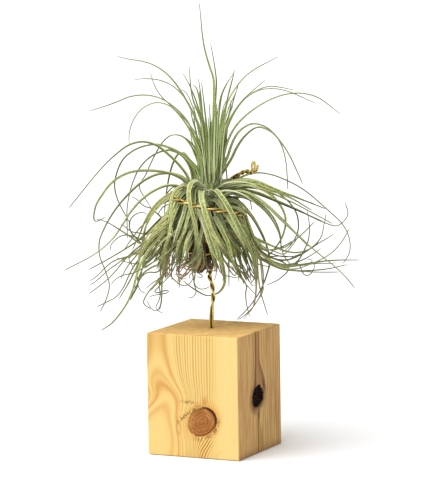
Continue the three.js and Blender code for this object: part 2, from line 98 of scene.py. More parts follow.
class Shade:
    """A socket of a material, with the sums that its pattern needs."""

    def __init__(self, socket):
        self.socket = socket

    def node(self, kind, given, output=0, stops=(), **settings):
        """The output of a new node of that kind, with its settings and its sockets filled."""
        tree = self.socket.id_data
        made = tree.nodes.new("ShaderNode" + kind)
        for name, setting in settings.items():
            setattr(made, name, setting)
        for place, (position, colour) in enumerate(stops):
            ends = made.color_ramp.elements
            stop = ends[place] if place < 2 else ends.new(position)
            stop.position = position
            stop.color = (*colour, 1)
        for socket, value in given.items():
            if isinstance(value, Shade):
                tree.links.new(value.socket, made.inputs[socket])
            else:
                made.inputs[socket].default_value = value
        return Shade(made.outputs[output])

    def sum(self, operation, *terms):
        return self.node("Math", dict(enumerate(terms)), operation=operation)

    def __add__(self, other):
        return self.sum("ADD", self, other)

    def __radd__(self, other):
        return self.sum("ADD", other, self)

    def __sub__(self, other):
        return self.sum("SUBTRACT", self, other)

    def __rsub__(self, other):
        return self.sum("SUBTRACT", other, self)

    def __mul__(self, other):
        return self.sum("MULTIPLY", self, other)

    def __rmul__(self, other):
        return self.sum("MULTIPLY", other, self)

    def __truediv__(self, other):
        return self.sum("DIVIDE", self, other)

    def __rtruediv__(self, other):
        return self.sum("DIVIDE", other, self)

    def __pow__(self, power):
        return self.sum("POWER", self, power)

    def to(self, operation, *others):
        """This value put through a Math node of that operation."""
        return self.sum(operation, self, *others)

    def ridge(self, middle, width):
        """1 at the middle value, fading to nothing on both sides of it."""
        off = (self - middle) / width
        return (off * off * -1).to("EXPONENT")

    def step(self, low, high):
        """0 below low, 1 above high, and a smooth step between."""
        inputs = {"Value": self, "From Min": low, "From Max": high}
        return self.node("MapRange", inputs, interpolation_type="SMOOTHSTEP")

    def fall(self, low, high):
        """1 below low, 0 above high, and a smooth fall between."""
        return 1 - self.step(low, high)

    def blend(self, first, second):
        """A colour that goes from the first to the second as this value goes from 0 to 1."""
        colours = [c if isinstance(c, Shade) else (*c, 1) for c in (first, second)]
        inputs = {0: self, 6: colours[0], 7: colours[1]}
        return self.node("Mix", inputs, output=2, data_type="RGBA")

    def parts(self):
        """The three numbers of a vector."""
        return [self.node("SeparateXYZ", {0: self}, output=axis) for axis in range(3)]

    def noise(self, scale, detail=2, stretch=(1, 1, 1)):
        """Noise at a point, from 0 to 1, its grain drawn out where stretch is small."""
        point = self.node("VectorMath", {0: self, 1: stretch}, operation="MULTIPLY")
        inputs = {"Vector": point, "Scale": scale, "Detail": detail}
        return self.node("TexNoise", inputs, output="Fac")


def new_finish(name, **constants):
    """A material, its surface, and the place on the object in millimetres."""
    material = bpy.data.materials.new(name)
    material.use_nodes = True
    surface = material.node_tree.nodes["Principled BSDF"]
    for socket, value in constants.items():
        surface.inputs[socket.replace("_", " ")].default_value = value
    place = Shade(material.node_tree.nodes.new("ShaderNodeTexCoord").outputs["Object"])
    scaled = place.node("VectorMath", {0: place, "Scale": 1 / MM}, operation="SCALE")
    return material, surface, scaled


def feed(surface, socket, value):
    """Links a pattern to a socket of a surface."""
    surface.id_data.links.new(value.socket, surface.inputs[socket])


def raise_surface(surface, height, millimetres):
    """Bumps the surface by a height pattern of 0 to 1, that many millimetres deep."""
    inputs = {"Height": height, "Distance": millimetres * MM}
    feed(surface, "Normal", height.node("Bump", inputs))


FLOOR_SIZE = 40
FLOOR_DROP = 0.2
PAPER_GREY, PAPER_WHITE = (0.89, 0.89, 0.89), (0.91, 0.91, 0.91)
floor_form = bmesh.new()
bmesh.ops.create_grid(floor_form, x_segments=1, y_segments=1, size=FLOOR_SIZE)
floor_mesh = bpy.data.meshes.new("floor")
floor_form.to_mesh(floor_mesh)
floor_form.free()
floor = bpy.data.objects.new("floor", floor_mesh)
floor.location.z = -FLOOR_DROP * MM
bpy.context.scene.collection.objects.link(floor)
paper, paper_surface, paper_place = new_finish("white_paper", Roughness=0.9)
paper_tone = paper_place.noise(0.02)
feed(paper_surface, "Base Color", paper_tone.blend(PAPER_GREY, PAPER_WHITE))
floor_mesh.materials.append(paper)

SKY_STRENGTH = 0.6
SUN_STRENGTH = 3.1
SUN_WIDTH = math.radians(64)
sun_side = right * -0.72 + towards * 0.5 + upright * 1.3
sky = bpy.data.worlds.new("studio")
sky.use_nodes = True
sky.node_tree.nodes["Background"].inputs["Color"].default_value = (1, 1, 1, 1)
sky.node_tree.nodes["Background"].inputs["Strength"].default_value = SKY_STRENGTH
bpy.context.scene.world = sky
glow = bpy.data.lights.new("softbox", "SUN")
glow.energy = SUN_STRENGTH
glow.angle = SUN_WIDTH
lamp = bpy.data.objects.new("softbox", glow)
lamp.rotation_euler = sun_side.to_track_quat("Z", "Y").to_euler()
bpy.context.scene.collection.objects.link(lamp)

# Pine block
# A length of planed pine post, sawn off, sanded and eased along its edges. It has a tight brown knot
# in its wide face and a dead black one in the right-hand face, with the grain flowing round them.
_, block_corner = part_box("wood_block")
HALF_SIDE = block_corner.x / MM
BLOCK_TOP = block_corner.z / MM
BROWN_KNOT = {"x": 4.9, "z": 18.1, "wide": 8.3, "high": 6.7, "tilt": math.radians(36)}
BLACK_KNOT = {"y": -2.6, "z": 28.4, "wide": 6.6, "high": 5.6, "tilt": math.radians(28)}
KNOT_GRID = 0.42
KNOT_REACH = 10.5
KNOT_SHADOW = 1.3
RIM_AT, RIM_WIDTH = 0.97, 0.05
RIM_GAP, LEAST_GAP = 0.7, 0.1
RING_DEPTH, RING_COUNT = 0.05, 34
CRACKS = (0.5, 2.3, 4.1)
CRACK_DEPTH, CRACK_THINNESS = 0.28, 25
CRACK_START, CRACK_END = 0.12, 0.8
HOLLOW_SHADOW = 1.25
SUNK_DEPTH, SUNK_EDGE, SUNK_STEEPNESS = 0.9, 0.9, 22
SPLIT_DEPTH, SPLIT_COUNT, SPLIT_THINNESS = 0.4, 3, 24
WRINKLE_DEPTH = 0.1
WELD_GAP = 0.005
FACE_SLACK = 0.001
FACE_TURN = 0.99
CUT_SLACK = 1e-7
CORNER_TURN, EDGE_TURN = math.radians(1), math.radians(50)


def copy_of(node):
    """An editable copy of a CAD node, its loose triangles joined again."""
    form = bmesh.new()
    form.from_mesh(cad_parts[node].data)
    bmesh.ops.remove_doubles(form, verts=form.verts, dist=WELD_GAP * MM)
    return form


def add_piece(name, form, finish):
    """Puts a finished form in the scene, riding on the object's one body."""
    mesh = bpy.data.meshes.new(name)
    form.to_mesh(mesh)
    form.free()
    mesh.shade_smooth()
    mesh.materials.append(finish)
    piece = bpy.data.objects.new(name, mesh)
    bpy.context.scene.collection.objects.link(piece)
    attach(piece, "root")
    return piece


def cut_lines(form, axis, middle, face_axis, face_side):
    """Scores a face of the block with close lines across one axis, around a knot."""
    normal = Vector([float(each == axis) for each in range(3)])
    for step in range(round(2 * KNOT_REACH / KNOT_GRID) + 1):
        at = (middle - KNOT_REACH + step * KNOT_GRID) * MM
        faces = [f for f in form.faces
                 if f.normal[face_axis] * face_side > FACE_TURN and f.calc_area() > 0]
        parts = {item for face in faces for item in (*face.verts, *face.edges)}
        bmesh.ops.bisect_plane(
            form, geom=[*faces, *parts], dist=CUT_SLACK, plane_co=normal * at, plane_no=normal)


def knot_place(knot, sideways, up):
    """Along and across a knot's tilted oval, 1 at its rim: numbers, or parts of a pattern."""
    cosine, sine = math.cos(knot["tilt"]), math.sin(knot["tilt"])
    along = (sideways * cosine + up * sine) / knot["wide"]
    across = (up * cosine - sideways * sine) / knot["high"]
    return along, across


def brown_knot_depth(x, z):
    """How far the brown knot's face lies in, in millimetres: faint rings, drying cracks, a gap."""
    along, across = knot_place(BROWN_KNOT, x - BROWN_KNOT["x"], z - BROWN_KNOT["z"])
    span = math.hypot(along, across)
    if span > KNOT_SHADOW:
        return 0
    angle = math.atan2(across, along)
    rim = math.exp(-((span - RIM_AT) / RIM_WIDTH) ** 2)
    gap = RIM_GAP * max(0, math.cos(angle + 0.5)) ** 2 + LEAST_GAP
    rings = RING_DEPTH * math.sin(span * RING_COUNT) * (span < 1)
    cracks = 0
    for at in CRACKS:
        if math.cos(angle - at) > 0 and CRACK_START < span < CRACK_END:
            cracks += CRACK_DEPTH * math.exp(-(math.sin(angle - at) * span * CRACK_THINNESS) ** 2)
    return rim * gap + rings + cracks


def black_knot_depth(y, z):
    """How far the dead knot has shrunk into the right-hand face, with a star of splits."""
    along, across = knot_place(BLACK_KNOT, y - BLACK_KNOT["y"], z - BLACK_KNOT["z"])
    span = math.hypot(along, across)
    if span > HOLLOW_SHADOW:
        return 0
    angle = math.atan2(across, along)
    sunk = SUNK_DEPTH / (1 + math.exp((span - SUNK_EDGE) * SUNK_STEEPNESS))
    star = max(0, math.cos(SPLIT_COUNT * angle + 0.8)) ** SPLIT_THINNESS * (0.15 < span < 0.95)
    wrinkles = math.sin(9 * span + 3 * math.sin(2 * angle)) * (span < SUNK_EDGE)
    return sunk + SPLIT_DEPTH * star + WRINKLE_DEPTH * wrinkles


block_form = copy_of("wood_block")
bmesh.ops.dissolve_limit(
    block_form, angle_limit=CORNER_TURN, verts=block_form.verts, edges=block_form.edges)
block_form.normal_update()
cut_lines(block_form, 0, BROWN_KNOT["x"], 1, -1)
cut_lines(block_form, 2, BROWN_KNOT["z"], 1, -1)
cut_lines(block_form, 1, BLACK_KNOT["y"], 0, 1)
cut_lines(block_form, 2, BLACK_KNOT["z"], 0, 1)
for vert in block_form.verts:
    spot = vert.co / MM
    if spot.y < FACE_SLACK - HALF_SIDE:
        vert.co.y += brown_knot_depth(spot.x, spot.z) * MM
    if spot.x > HALF_SIDE - FACE_SLACK:
        vert.co.x -= black_knot_depth(spot.y, spot.z) * MM

# The grain is that of a post sawn near the tree's heart. On the wide face the years arch up at the left
# and run as fine lines past the knot; on the others they are rings round a heart that leans a little.
# The patterns' limits are millimetres on the block, spans of a knot, or shares from 0 to 1.
PITH = (-16, 15)
PITH_LEAN = 0.17
YEAR_POWER = 2.65
YEAR_SCALE = 1684
FIRST_YEAR = 0.64
ARCH_MIDDLE = -19
ARCH_HEIGHT = 53
ARCH_DEPTH = 105.5
ARCHES = ((14, 16, 0.9), (-38.7, 11, 0.55), (-72.5, 18, 1), (-146.5, 19, 0.6))
FIRST_LINE = 9.6
LINE_GAP = 1.5
BEAD_START = (-9, 17.4)
BEAD_ALONG, BEAD_UP = 0.822, 0.57
STAIN_ABOVE = {"x": (6.6, 1.4), "z": (28.3, 2.6)}
LEFT_EYE = {"x": -8, "z": 14, "wide": 1.35, "high": 2.7}
SIDE_SPLITS = ((-4.4, 0.75, 1), (-7.4, 0.6, 0.5), (-1.3, 0.5, 0.7), (-2.8, 1.7, 0.55))
EDDY_FOOT, EDDY_SLOPE = 34, -0.55
FLAME_TOP, FLAME_MIDDLE, FLAME_WIDTH = 46, -2.9, 3
FLAME_LEAN, FLAME_SPREAD = 0.2, 0.3
PALE_PINE, WARM_PINE, PLAIN_PINE = (0.755, 0.545, 0.215), (0.70, 0.475, 0.165), (0.76, 0.59, 0.25)
ARCH_BROWN, LINE_BROWN, FIBRE_BROWN = (0.56, 0.28, 0.065), (0.38, 0.19, 0.025), (0.42, 0.23, 0.06)
CUT_PALE, CUT_WARM, CUT_YEAR = (0.89, 0.57, 0.20), (0.74, 0.43, 0.13), (0.28, 0.13, 0.03)
HALO_ORANGE, STAIN_BROWN, EYE_BROWN = (0.62, 0.30, 0.06), (0.42, 0.19, 0.04), (0.42, 0.24, 0.07)
KNOT_BROWN, KNOT_DARK, KNOT_PALE = (0.47, 0.185, 0.048), (0.07, 0.021, 0.005), (0.58, 0.30, 0.10)
RIM_BLACK, BEAD_BROWN = (0.045, 0.013, 0.004), (0.15, 0.055, 0.012)
SIDE_RED, SIDE_BROWN, SIDE_FOOT = (0.36, 0.135, 0.055), (0.42, 0.205, 0.075), (0.26, 0.13, 0.06)
SPLIT_DARK, SIDE_LINE, EDDY_PALE = (0.15, 0.05, 0.012), (0.22, 0.11, 0.04), (0.75, 0.52, 0.27)
FLAME_BROWN, FLAME_DARK, SIDE_HALO = (0.44, 0.23, 0.085), (0.10, 0.037, 0.01), (0.10, 0.04, 0.013)
CHAR_BLACK, CHAR_BROWN = (0.004, 0.0012, 0.0003), (0.13, 0.045, 0.011)

pine, pine_surface, place = new_finish("sanded_pine", Roughness=0.66, Specular_IOR_Level=0.08)
x, y, z = place.parts()
at_front = y.fall(-HALF_SIDE + 0.1, -HALF_SIDE + 0.6)
at_side = x.step(HALF_SIDE - 0.6, HALF_SIDE - 0.1)
near_front = y.fall(-HALF_SIDE + 2, -HALF_SIDE + 3)
near_side = x.step(HALF_SIDE - 3, HALF_SIDE - 2)
rough_edge = place.noise(0.5) * 0.14 - 0.07
knot_x, knot_z = x - BROWN_KNOT["x"], z - BROWN_KNOT["z"]
knot_u, knot_v = knot_place(BROWN_KNOT, knot_x, knot_z)
brown_span = (knot_u ** 2 + knot_v ** 2) ** 0.5 + rough_edge
black_y, black_z = y - BLACK_KNOT["y"], z - BLACK_KNOT["z"]
black_u, black_v = knot_place(BLACK_KNOT, black_y, black_z)
black_span = (black_u ** 2 + black_v ** 2) ** 0.5 + rough_edge * 2 + place.noise(0.22) * 0.5 - 0.25
clear_brown = brown_span.to("MAXIMUM", 0.9)
clear_black = black_span.to("MAXIMUM", 1)

pinch = (x - 6.5) * z.ridge(29, 7) * 0.22
bulge = knot_x * 0.42 / clear_brown ** 3
below = (BROWN_KNOT["z"] - 5 - z).step(0, 14) * 5.5 * (1 - (x - 8.5).to("ABSOLUTE").step(4, 10))
drift = (place.noise(0.09, stretch=(1, 1, 0.25)) - 0.5) * 1.1
line_x = x + pinch - bulge + below + drift
from_arch = (line_x - ARCH_MIDDLE).to("ABSOLUTE")
drop = ((BLOCK_TOP - z) / ARCH_HEIGHT).to("MAXIMUM", 0) ** 1.25 * math.pi
spread = (1 - drop.to("COSINE")) * ARCH_DEPTH * (1 - from_arch.step(10, 21) * 0.9)
field = from_arch * from_arch - spread
arches = sum(field.ridge(middle, width) * depth for middle, width, depth in ARCHES)
line_place = (field.to("MAXIMUM", 1) ** 0.5 - FIRST_LINE) / LINE_GAP
line_number = line_place.to("FLOOR")
line_share = line_place.to("FRACT")
line_strength = line_place.node("TexWhiteNoise", {"W": line_number + 3.1}, noise_dimensions="1D")
lines = line_share.step(0.25, 0.75) * line_share.fall(0.86, 1) * (line_strength * 0.65 + 0.35)
lines = lines * line_place.step(-0.6, 0.1) * (1 - line_place.step(11, 16.5) * 0.85)
low_lines = knot_z.fall(-12, -7) * x.ridge(7.5, 4.5)
arch_bands = arches.to("MINIMUM", 1) * 0.85
front_lines = (lines * (0.75 + low_lines * 1.3)).to("MINIMUM", 1)

lean = (1 - x.step(-13, 2) * 0.85) * (z - BLOCK_TOP) * PITH_LEAN
wander = (place.noise(0.06, stretch=(1, 1, 0.3)) - 0.5) * 1.6
side_shift = black_y * at_side * 0.92 / clear_black ** 2
pith_x = x - PITH[0]
pith_y = y - side_shift - PITH[1] - lean
radius = (pith_x ** 2 + pith_y ** 2) ** 0.5 + wander
years = radius ** YEAR_POWER / YEAR_SCALE - FIRST_YEAR
ring = years.to("FRACT")
soft_arch = radius.fall(37, 43)
latewood = ring.step(0.25, 0.9) * ring.fall(0.9, 1)
early_edge = ring.step(0.62, 0.95) * ring.fall(0.95, 1)
year = years.node("TexWhiteNoise", {"W": years.to("FLOOR") + 7.3}, noise_dimensions="1D")
strength = year * 0.75 + 0.25
fibre = place.noise(1.6, detail=4, stretch=(1, 1, 0.045))
fine_fibre = place.noise(6, detail=3, stretch=(1, 1, 0.03))
soft_band = latewood * soft_arch * 0.55 * (1 - at_front) + arch_bands * at_front
fine_line = early_edge * (1 - soft_arch) * strength * 0.8 * (1 - at_front) + front_lines * at_front
pale = fibre.blend(PALE_PINE, WARM_PINE)
wood = soft_band.blend(pale, ARCH_BROWN)
wood = fine_line.blend(wood, LINE_BROWN)
wood = (fine_fibre.step(0.48, 0.8) * 0.26).blend(wood, FIBRE_BROWN)
plain_strip = x.step(11, 18) * at_front
wood = (plain_strip * 0.35).blend(wood, PLAIN_PINE)
facing = Shade(pine.node_tree.nodes.new("ShaderNodeNewGeometry").outputs["Normal"]).parts()
end_grain = facing[2].to("ABSOLUTE").step(0.8, 0.95)
cut_tone = place.noise(0.35, detail=3).step(0.3, 0.7).blend(CUT_PALE, CUT_WARM)
dark_year = radius.ridge(44, 1.1) * 0.55 + ring.step(0.5, 1) * 0.14
wood = (end_grain * 0.75).blend(wood, dark_year.blend(cut_tone, CUT_YEAR))

# The brown knot: a sound branch, sawn across, with resin beads in the wood round its upper left.
halo = brown_span.fall(0.92, 1.65) * near_front
halo = halo * (0.5 + knot_u.step(-0.6, 1.1) * 0.5)
wood = (halo * 0.8).blend(wood, HALO_ORANGE)
above_knot = x.ridge(*STAIN_ABOVE["x"]) * z.ridge(*STAIN_ABOVE["z"]) * near_front
wood = (above_knot * 0.7).blend(wood, STAIN_BROWN)
eye_x = (x - LEFT_EYE["x"]) / LEFT_EYE["wide"]
eye_z = (z - LEFT_EYE["z"]) / LEFT_EYE["high"]
left_eye = eye_x ** 2 + eye_z ** 2
wood = (left_eye.ridge(1, 0.55) * near_front * 0.5).blend(wood, EYE_BROWN)
knot_rings = brown_span * 26 + place.noise(0.8) * 6
knot_rings = knot_rings.to("SINE") * 0.5 + 0.5
knot_grain = place.noise(2.4, detail=5)
knot_streak = (knot_v * 7 + place.noise(0.5, detail=4) * 5 + knot_u * 1.5).to("SINE") * 0.5 + 0.5
knot_tone = knot_rings * 0.22 + brown_span.step(0.1, 1.0) * 0.08
knot_tone = knot_tone + knot_grain.step(0.44, 0.62) * 0.55 + knot_streak * 0.16
knot_wood = knot_tone.blend(KNOT_BROWN, KNOT_DARK)
knot_pale = (1 - (knot_u - knot_v * 0.9).step(-1.3, -0.3)) * 0.6 + knot_u.ridge(0.62, 0.14) * 0.45
knot_wood = (knot_pale * knot_grain.fall(0.4, 0.7)).blend(knot_wood, KNOT_PALE)
in_brown = brown_span.fall(0.96, 1.03) * near_front
wood = in_brown.blend(wood, knot_wood)
rim_dark = brown_span.step(0.84, 0.97) * brown_span.fall(0.99, 1.12) * near_front
crescent = knot_u.step(0.25, 0.8) * 0.8 + 0.2
wood = (rim_dark * crescent).blend(wood, RIM_BLACK)
beads = place.noise(1.5, detail=4).step(0.47, 0.55)
bead_x, bead_z = x - BEAD_START[0], z - BEAD_START[1]
trail_off = bead_z * BEAD_ALONG - bead_x * BEAD_UP
trail_along = bead_x * BEAD_ALONG + bead_z * BEAD_UP
bead_zone = trail_off.ridge(0, 1) * trail_along.step(-1, 1) * trail_along.fall(14, 17)
bead_trail = z.ridge(27.7, 0.8) * x.ridge(-2.2, 4)
bead_low = brown_span.ridge(1.16, 0.14) * knot_v.fall(-1, -0.3)
bead_zone = (bead_zone + bead_trail + bead_low).to("MINIMUM", 1) * near_front
wood = (beads * bead_zone * 0.9).blend(wood, BEAD_BROWN)

# The right-hand face: browner, partly its own tone and partly painted shade, with a dead knot, dark splits
# in the brown stain above it, a pale eddy of grain beside them, and one split below.
streaks = place.noise(0.5, detail=5, stretch=(1, 1, 0.1)).step(0.36, 0.64)
# Browner over the whole face: partly the wood's own tone, partly painted shade.
brown_and_painted_shade = at_side * (0.25 + fibre.step(0.3, 0.7) * 0.25 + streaks * (y.step(-8, 2) * 0.2 + 0.2))
wood = brown_and_painted_shade.blend(wood, y.step(-9, -2).blend(SIDE_RED, SIDE_BROWN))
wood = (z.fall(0, 4) * at_side * 0.5).blend(wood, SIDE_FOOT)
splits = sum(y.ridge(middle, width) * depth for middle, width, depth in SIDE_SPLITS)
up_splits = splits.to("MINIMUM", 1) * z.step(32, 37)
eddy_height = z.step(33, 36) * z.fall(43, 47)
eddy_off = y - (z - EDDY_FOOT) * EDDY_SLOPE
swirl = (eddy_off - 6.6).ridge(0, 0.7) * eddy_height
low_split = (y + 2.7 + drift * 0.5).ridge(0, 0.55) * z.fall(15, 19)
low_split = low_split + y.ridge(-1.9, 1.3) * z.ridge(19, 2.6)
far_split = y.ridge(0.5, 0.4) * z.fall(12, 16) * 0.6 + y.ridge(18, 0.7) * z.ridge(21, 8) * 0.5
dark_splits = (up_splits + low_split * 1.1 + far_split + swirl * 0.5).to("MINIMUM", 1)
wood = (dark_splits * at_side * 0.92).blend(wood, SPLIT_DARK)
side_lines = (y * 2.4 + drift * 2).to("SINE").step(0.2, 1) * y.step(2, 9) * 0.28
wood = (side_lines * at_side).blend(wood, SIDE_LINE)
pale_edge = (eddy_off - 7.8).ridge(0, 0.5) * eddy_height
resin = place.noise(1.9, detail=3).step(0.5, 0.62) * y.ridge(-1.6, 2.6) * z.ridge(35.8, 1.2)
wood = ((pale_edge * 0.6 + resin).to("MINIMUM", 1) * at_side * 0.8).blend(wood, EDDY_PALE)
side_halo = black_span.fall(0.85, 1.75) * near_side
wood = (side_halo * 0.9).blend(wood, SIDE_HALO)
flame_low = (FLAME_TOP - z).to("MAXIMUM", 0)
flame_width = flame_low * FLAME_SPREAD + FLAME_WIDTH
flame_middle = flame_low * FLAME_LEAN + FLAME_MIDDLE - drift * 0.6
flame_off = (y - flame_middle).to("ABSOLUTE") / flame_width
flame = flame_off.fall(0.7, 1.15) * z.step(30, 33) * at_side * (1 - z.step(40, 48) * 0.45)
flame_tone = (flame_off.step(0.3, 0.9) * (1 - z.step(40, 48) * 0.3) + streaks * 0.3).to("MINIMUM", 1)
flame_tone = flame_tone.blend(FLAME_BROWN, FLAME_DARK)
wood = (flame * 0.85).blend(wood, flame_tone)
char = place.noise(0.75, detail=3).step(0.58, 0.74).blend(CHAR_BLACK, CHAR_BROWN)
in_black = black_span.fall(0.93, 1.05) * near_side
wood = in_black.blend(wood, char)
feed(pine_surface, "Base Color", wood)
feed(pine_surface, "Roughness", 0.62 + in_black * 0.25 + soft_band * 0.08)
raise_surface(pine_surface, soft_band * 0.6 + fine_line * 0.4 + fine_fibre * 0.4 + fibre * 0.3, 0.06)

pine_block = add_piece("pine_block", block_form, pine)
pine_block.data.set_sharp_from_angle(angle=EDGE_TURN)
even_faces = pine_block.modifiers.new("even faces", "WEIGHTED_NORMAL")
even_faces.keep_sharp = True
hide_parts("wood_block")

# Holder wire
# One length of brass wire, folded in half and twisted on itself. The fold stands in the hole; the pair
# climbs, goes once round the foot of the stem, then widens into a rising turn under the leaves.
WIRE_DIAMETER = 1.2
STRAND_OFFSET = 0.61
TWIST_START = math.radians(94)
TWIST_PITCHES = [(0, 90), (20, 70), (25, 20), (29, 10.8), (37, 10.5), (42, 6.2), (47, 6.2), (54, 13)]
TAIL_PITCHES = [(-26, 13), (-21, 24), (-9, 20), (-6, 5), (0, 4.6)]
CORE_STEP = 0.3
RING_STEP = 0.34
WIRE_SIDES = 12
CURVE_STEPS = 12
CREST_BATCHES = 40
HOLE_PLACE = (-1, -0.5)
HOLE_HEIGHTS = (47.25, 53.5, 61)
WIRE_RISE = [(0.1, 63), (0.5, 70), (1.1, 77.5), (0.6, 82.5), (-0.7, 87)]
LOWER_TURN_CENTRE = -6
LOWER_TURN_TOP = 101
UPPER_TURN_CENTRE = -1.2
UPPER_TURN_FOOT = 116
RING_RADIUS = 18.4
WIRE_STATIONS = [
    (35, 6.4, 90.6), (8, 7.4, 94.6), (-22, 7.8, 97.4), (-55, 7.8, 98.8), (-90, 7.8, 99.7),
    (-135, 7.8, 100.5), (-180, 7.9, 101.6), (-225, 8.2, 103), (-270, 9.4, 105), (-300, 11.4, 107.2),
    (-330, 14.4, 110.5), (-352, 17, 114), (-375, RING_RADIUS, 117.3), (-400, RING_RADIUS, 119.5),
    (-430, RING_RADIUS, 121.5), (-470, RING_RADIUS, 124), (-510, RING_RADIUS, 126.6),
    (-545, RING_RADIUS, 128.6), (-580, RING_RADIUS, 130), (-615, RING_RADIUS, 131.3),
    (-645, RING_RADIUS, 132.4),
]
WIRE_TAIL = [(8.5, 134.7, -13), (13.2, 137.3, -10.5), (17.2, 139.3, -9), (20.6, 138.7, -8)]
CUT_END = [(23.1, 140.1, -8), (23.4, 142.8, -8)]
LOOP_HEIGHT = 5.4
LOOP_WIDTH = 1.5
LOOP_OFFSET = 0.75
LOOP_START = 1.15
LOOP_SWEEP = 1.6
LOOP_RISE, LOOP_SWING = 1.1, 0.9
LOOP_STEPS = 12
# The glint is a painted highlight, the under and groove tones are painted shade, and the dull tone is
# tarnish.
BRASS_GLINT, BRASS_DEEP, BRASS_DULL = (0.95, 0.80, 0.31), (0.64, 0.42, 0.065), (0.34, 0.19, 0.03)
BRASS_UNDER_SHADE, BRASS_GROOVE_SHADE = (0.12, 0.06, 0.008), (0.07, 0.032, 0.005)


def around(degrees):
    """A direction round the stem, anticlockwise from above, counted from the picture's right."""
    return right * math.cos(math.radians(degrees)) - towards * math.sin(math.radians(degrees))


def even_line(points, count):
    """A smooth line through given points, as that many evenly spaced ones."""
    knots = np.array([tuple(p) for p in points], float)
    knots = np.vstack([2 * knots[0] - knots[1], knots, 2 * knots[-1] - knots[-2]])
    gaps = np.maximum(np.linalg.norm(np.diff(knots, axis=0), axis=1), 1e-6) ** 0.5
    times = np.concatenate([[0], np.cumsum(gaps)])
    dense = [knots[1]]
    for i in range(1, len(knots) - 2):
        t0, t1, t2, t3 = times[i - 1:i + 3]
        t = np.linspace(t1, t2, CURVE_STEPS + 1)[1:, None]
        a1 = (t1 - t) / (t1 - t0) * knots[i - 1] + (t - t0) / (t1 - t0) * knots[i]
        a2 = (t2 - t) / (t2 - t1) * knots[i] + (t - t1) / (t2 - t1) * knots[i + 1]
        a3 = (t3 - t) / (t3 - t2) * knots[i + 1] + (t - t2) / (t3 - t2) * knots[i + 2]
        b1 = (t2 - t) / (t2 - t0) * a1 + (t - t0) / (t2 - t0) * a2
        b2 = (t3 - t) / (t3 - t1) * a2 + (t - t1) / (t3 - t1) * a3
        dense.extend((t2 - t) / (t2 - t1) * b1 + (t - t1) / (t2 - t1) * b2)
    dense = np.array(dense)
    lengths = np.concatenate([[0], np.cumsum(np.linalg.norm(np.diff(dense, axis=0), axis=1))])
    wanted = np.linspace(0, lengths[-1], count)
    return np.stack([np.interp(wanted, lengths, row) for row in dense.T], axis=1), lengths[-1]


def carried_sides(line, first_side):
    """Side vectors carried along a line without twist, with the line's own directions."""
    along = np.gradient(line, axis=0)
    along /= np.linalg.norm(along, axis=1)[:, None]
    sides = np.zeros_like(line)
    side = np.array(first_side, float)
    for i, direction in enumerate(along):
        side = side - direction * side.dot(direction)
        side /= np.linalg.norm(side)
        sides[i] = side
    return along, sides


def wire_station(direction, radius, height):
    """A point of the wire's turns, whose centre moves from the lower turn's to the upper one's."""
    share = min(max((height - LOWER_TURN_TOP) / (UPPER_TURN_FOOT - LOWER_TURN_TOP), 0), 1)
    share = share * share * (3 - 2 * share)
    centre = LOWER_TURN_CENTRE + (UPPER_TURN_CENTRE - LOWER_TURN_CENTRE) * share
    return around(direction) * radius + right * centre + upright * height


route = [Vector((*HOLE_PLACE, height)) for height in HOLE_HEIGHTS]
route += [seen_at(*point) for point in WIRE_RISE]
route += [wire_station(*station) for station in WIRE_STATIONS]
route += [seen_at(*point) for point in WIRE_TAIL]
_, route_length = even_line(route, 2)
core, _ = even_line(route, round(route_length / CORE_STEP) + 1)
core_along, core_sides = carried_sides(core, (1, 0, 0))
core_rises = np.cross(core_along, core_sides)
core_lengths = np.arange(len(core)) * CORE_STEP
pitches = [*TWIST_PITCHES, *((route_length + at, pitch) for at, pitch in TAIL_PITCHES)]
winding = TWIST_START - np.cumsum(2 * np.pi * CORE_STEP / np.interp(core_lengths, *zip(*pitches)))


def strand(phase):
    """One of the two strands, wound round the core: slackly at first, then close."""
    angle = (winding + phase)[:, None]
    return core + STRAND_OFFSET * (core_sides * np.cos(angle) + core_rises * np.sin(angle))


lead, partner = strand(0), strand(math.pi)
fold = (lead[0] + partner[0]) / 2 - np.array([0, 0, STRAND_OFFSET])
loop = []
for step in range(LOOP_STEPS + 1):
    turned = math.pi * (LOOP_START - step / LOOP_STEPS * LOOP_SWEEP)
    sideways = right * (LOOP_OFFSET + LOOP_WIDTH / 2 * math.cos(turned))
    risen = upright * (LOOP_HEIGHT / 2) * (LOOP_RISE + LOOP_SWING * math.sin(turned))
    loop.append(route[-1] + sideways + risen)
cut_end = [seen_at(*point) for point in reversed(CUT_END)]
wire_points = [*cut_end, *partner[::-1], fold, *lead, *loop]


def blank_tubes(count, sides, rings):
    """Closed tubes still balled up as spheres, with each vertex's ring and its angle round the tube."""
    ball_form = bmesh.new()
    bmesh.ops.create_uvsphere(ball_form, u_segments=sides, v_segments=rings, radius=1)
    places = np.array([v.co for v in ball_form.verts])
    ball = bpy.data.meshes.new("ball")
    ball_form.to_mesh(ball)
    ball_form.free()
    form = bmesh.new()
    for _ in range(count):
        form.from_mesh(ball)
    bpy.data.meshes.remove(ball)
    ring = np.rint(np.arccos(np.clip(-places[:, 2], -1, 1)) / np.pi * rings).astype(int)
    return form, ring, np.arctan2(places[:, 1], places[:, 0])


def draw_out(form, points):
    """Moves the vertices of blank tubes to their places, given in millimetres."""
    for vert, point in zip(form.verts, points.reshape(-1, 3) * MM):
        vert.co = point


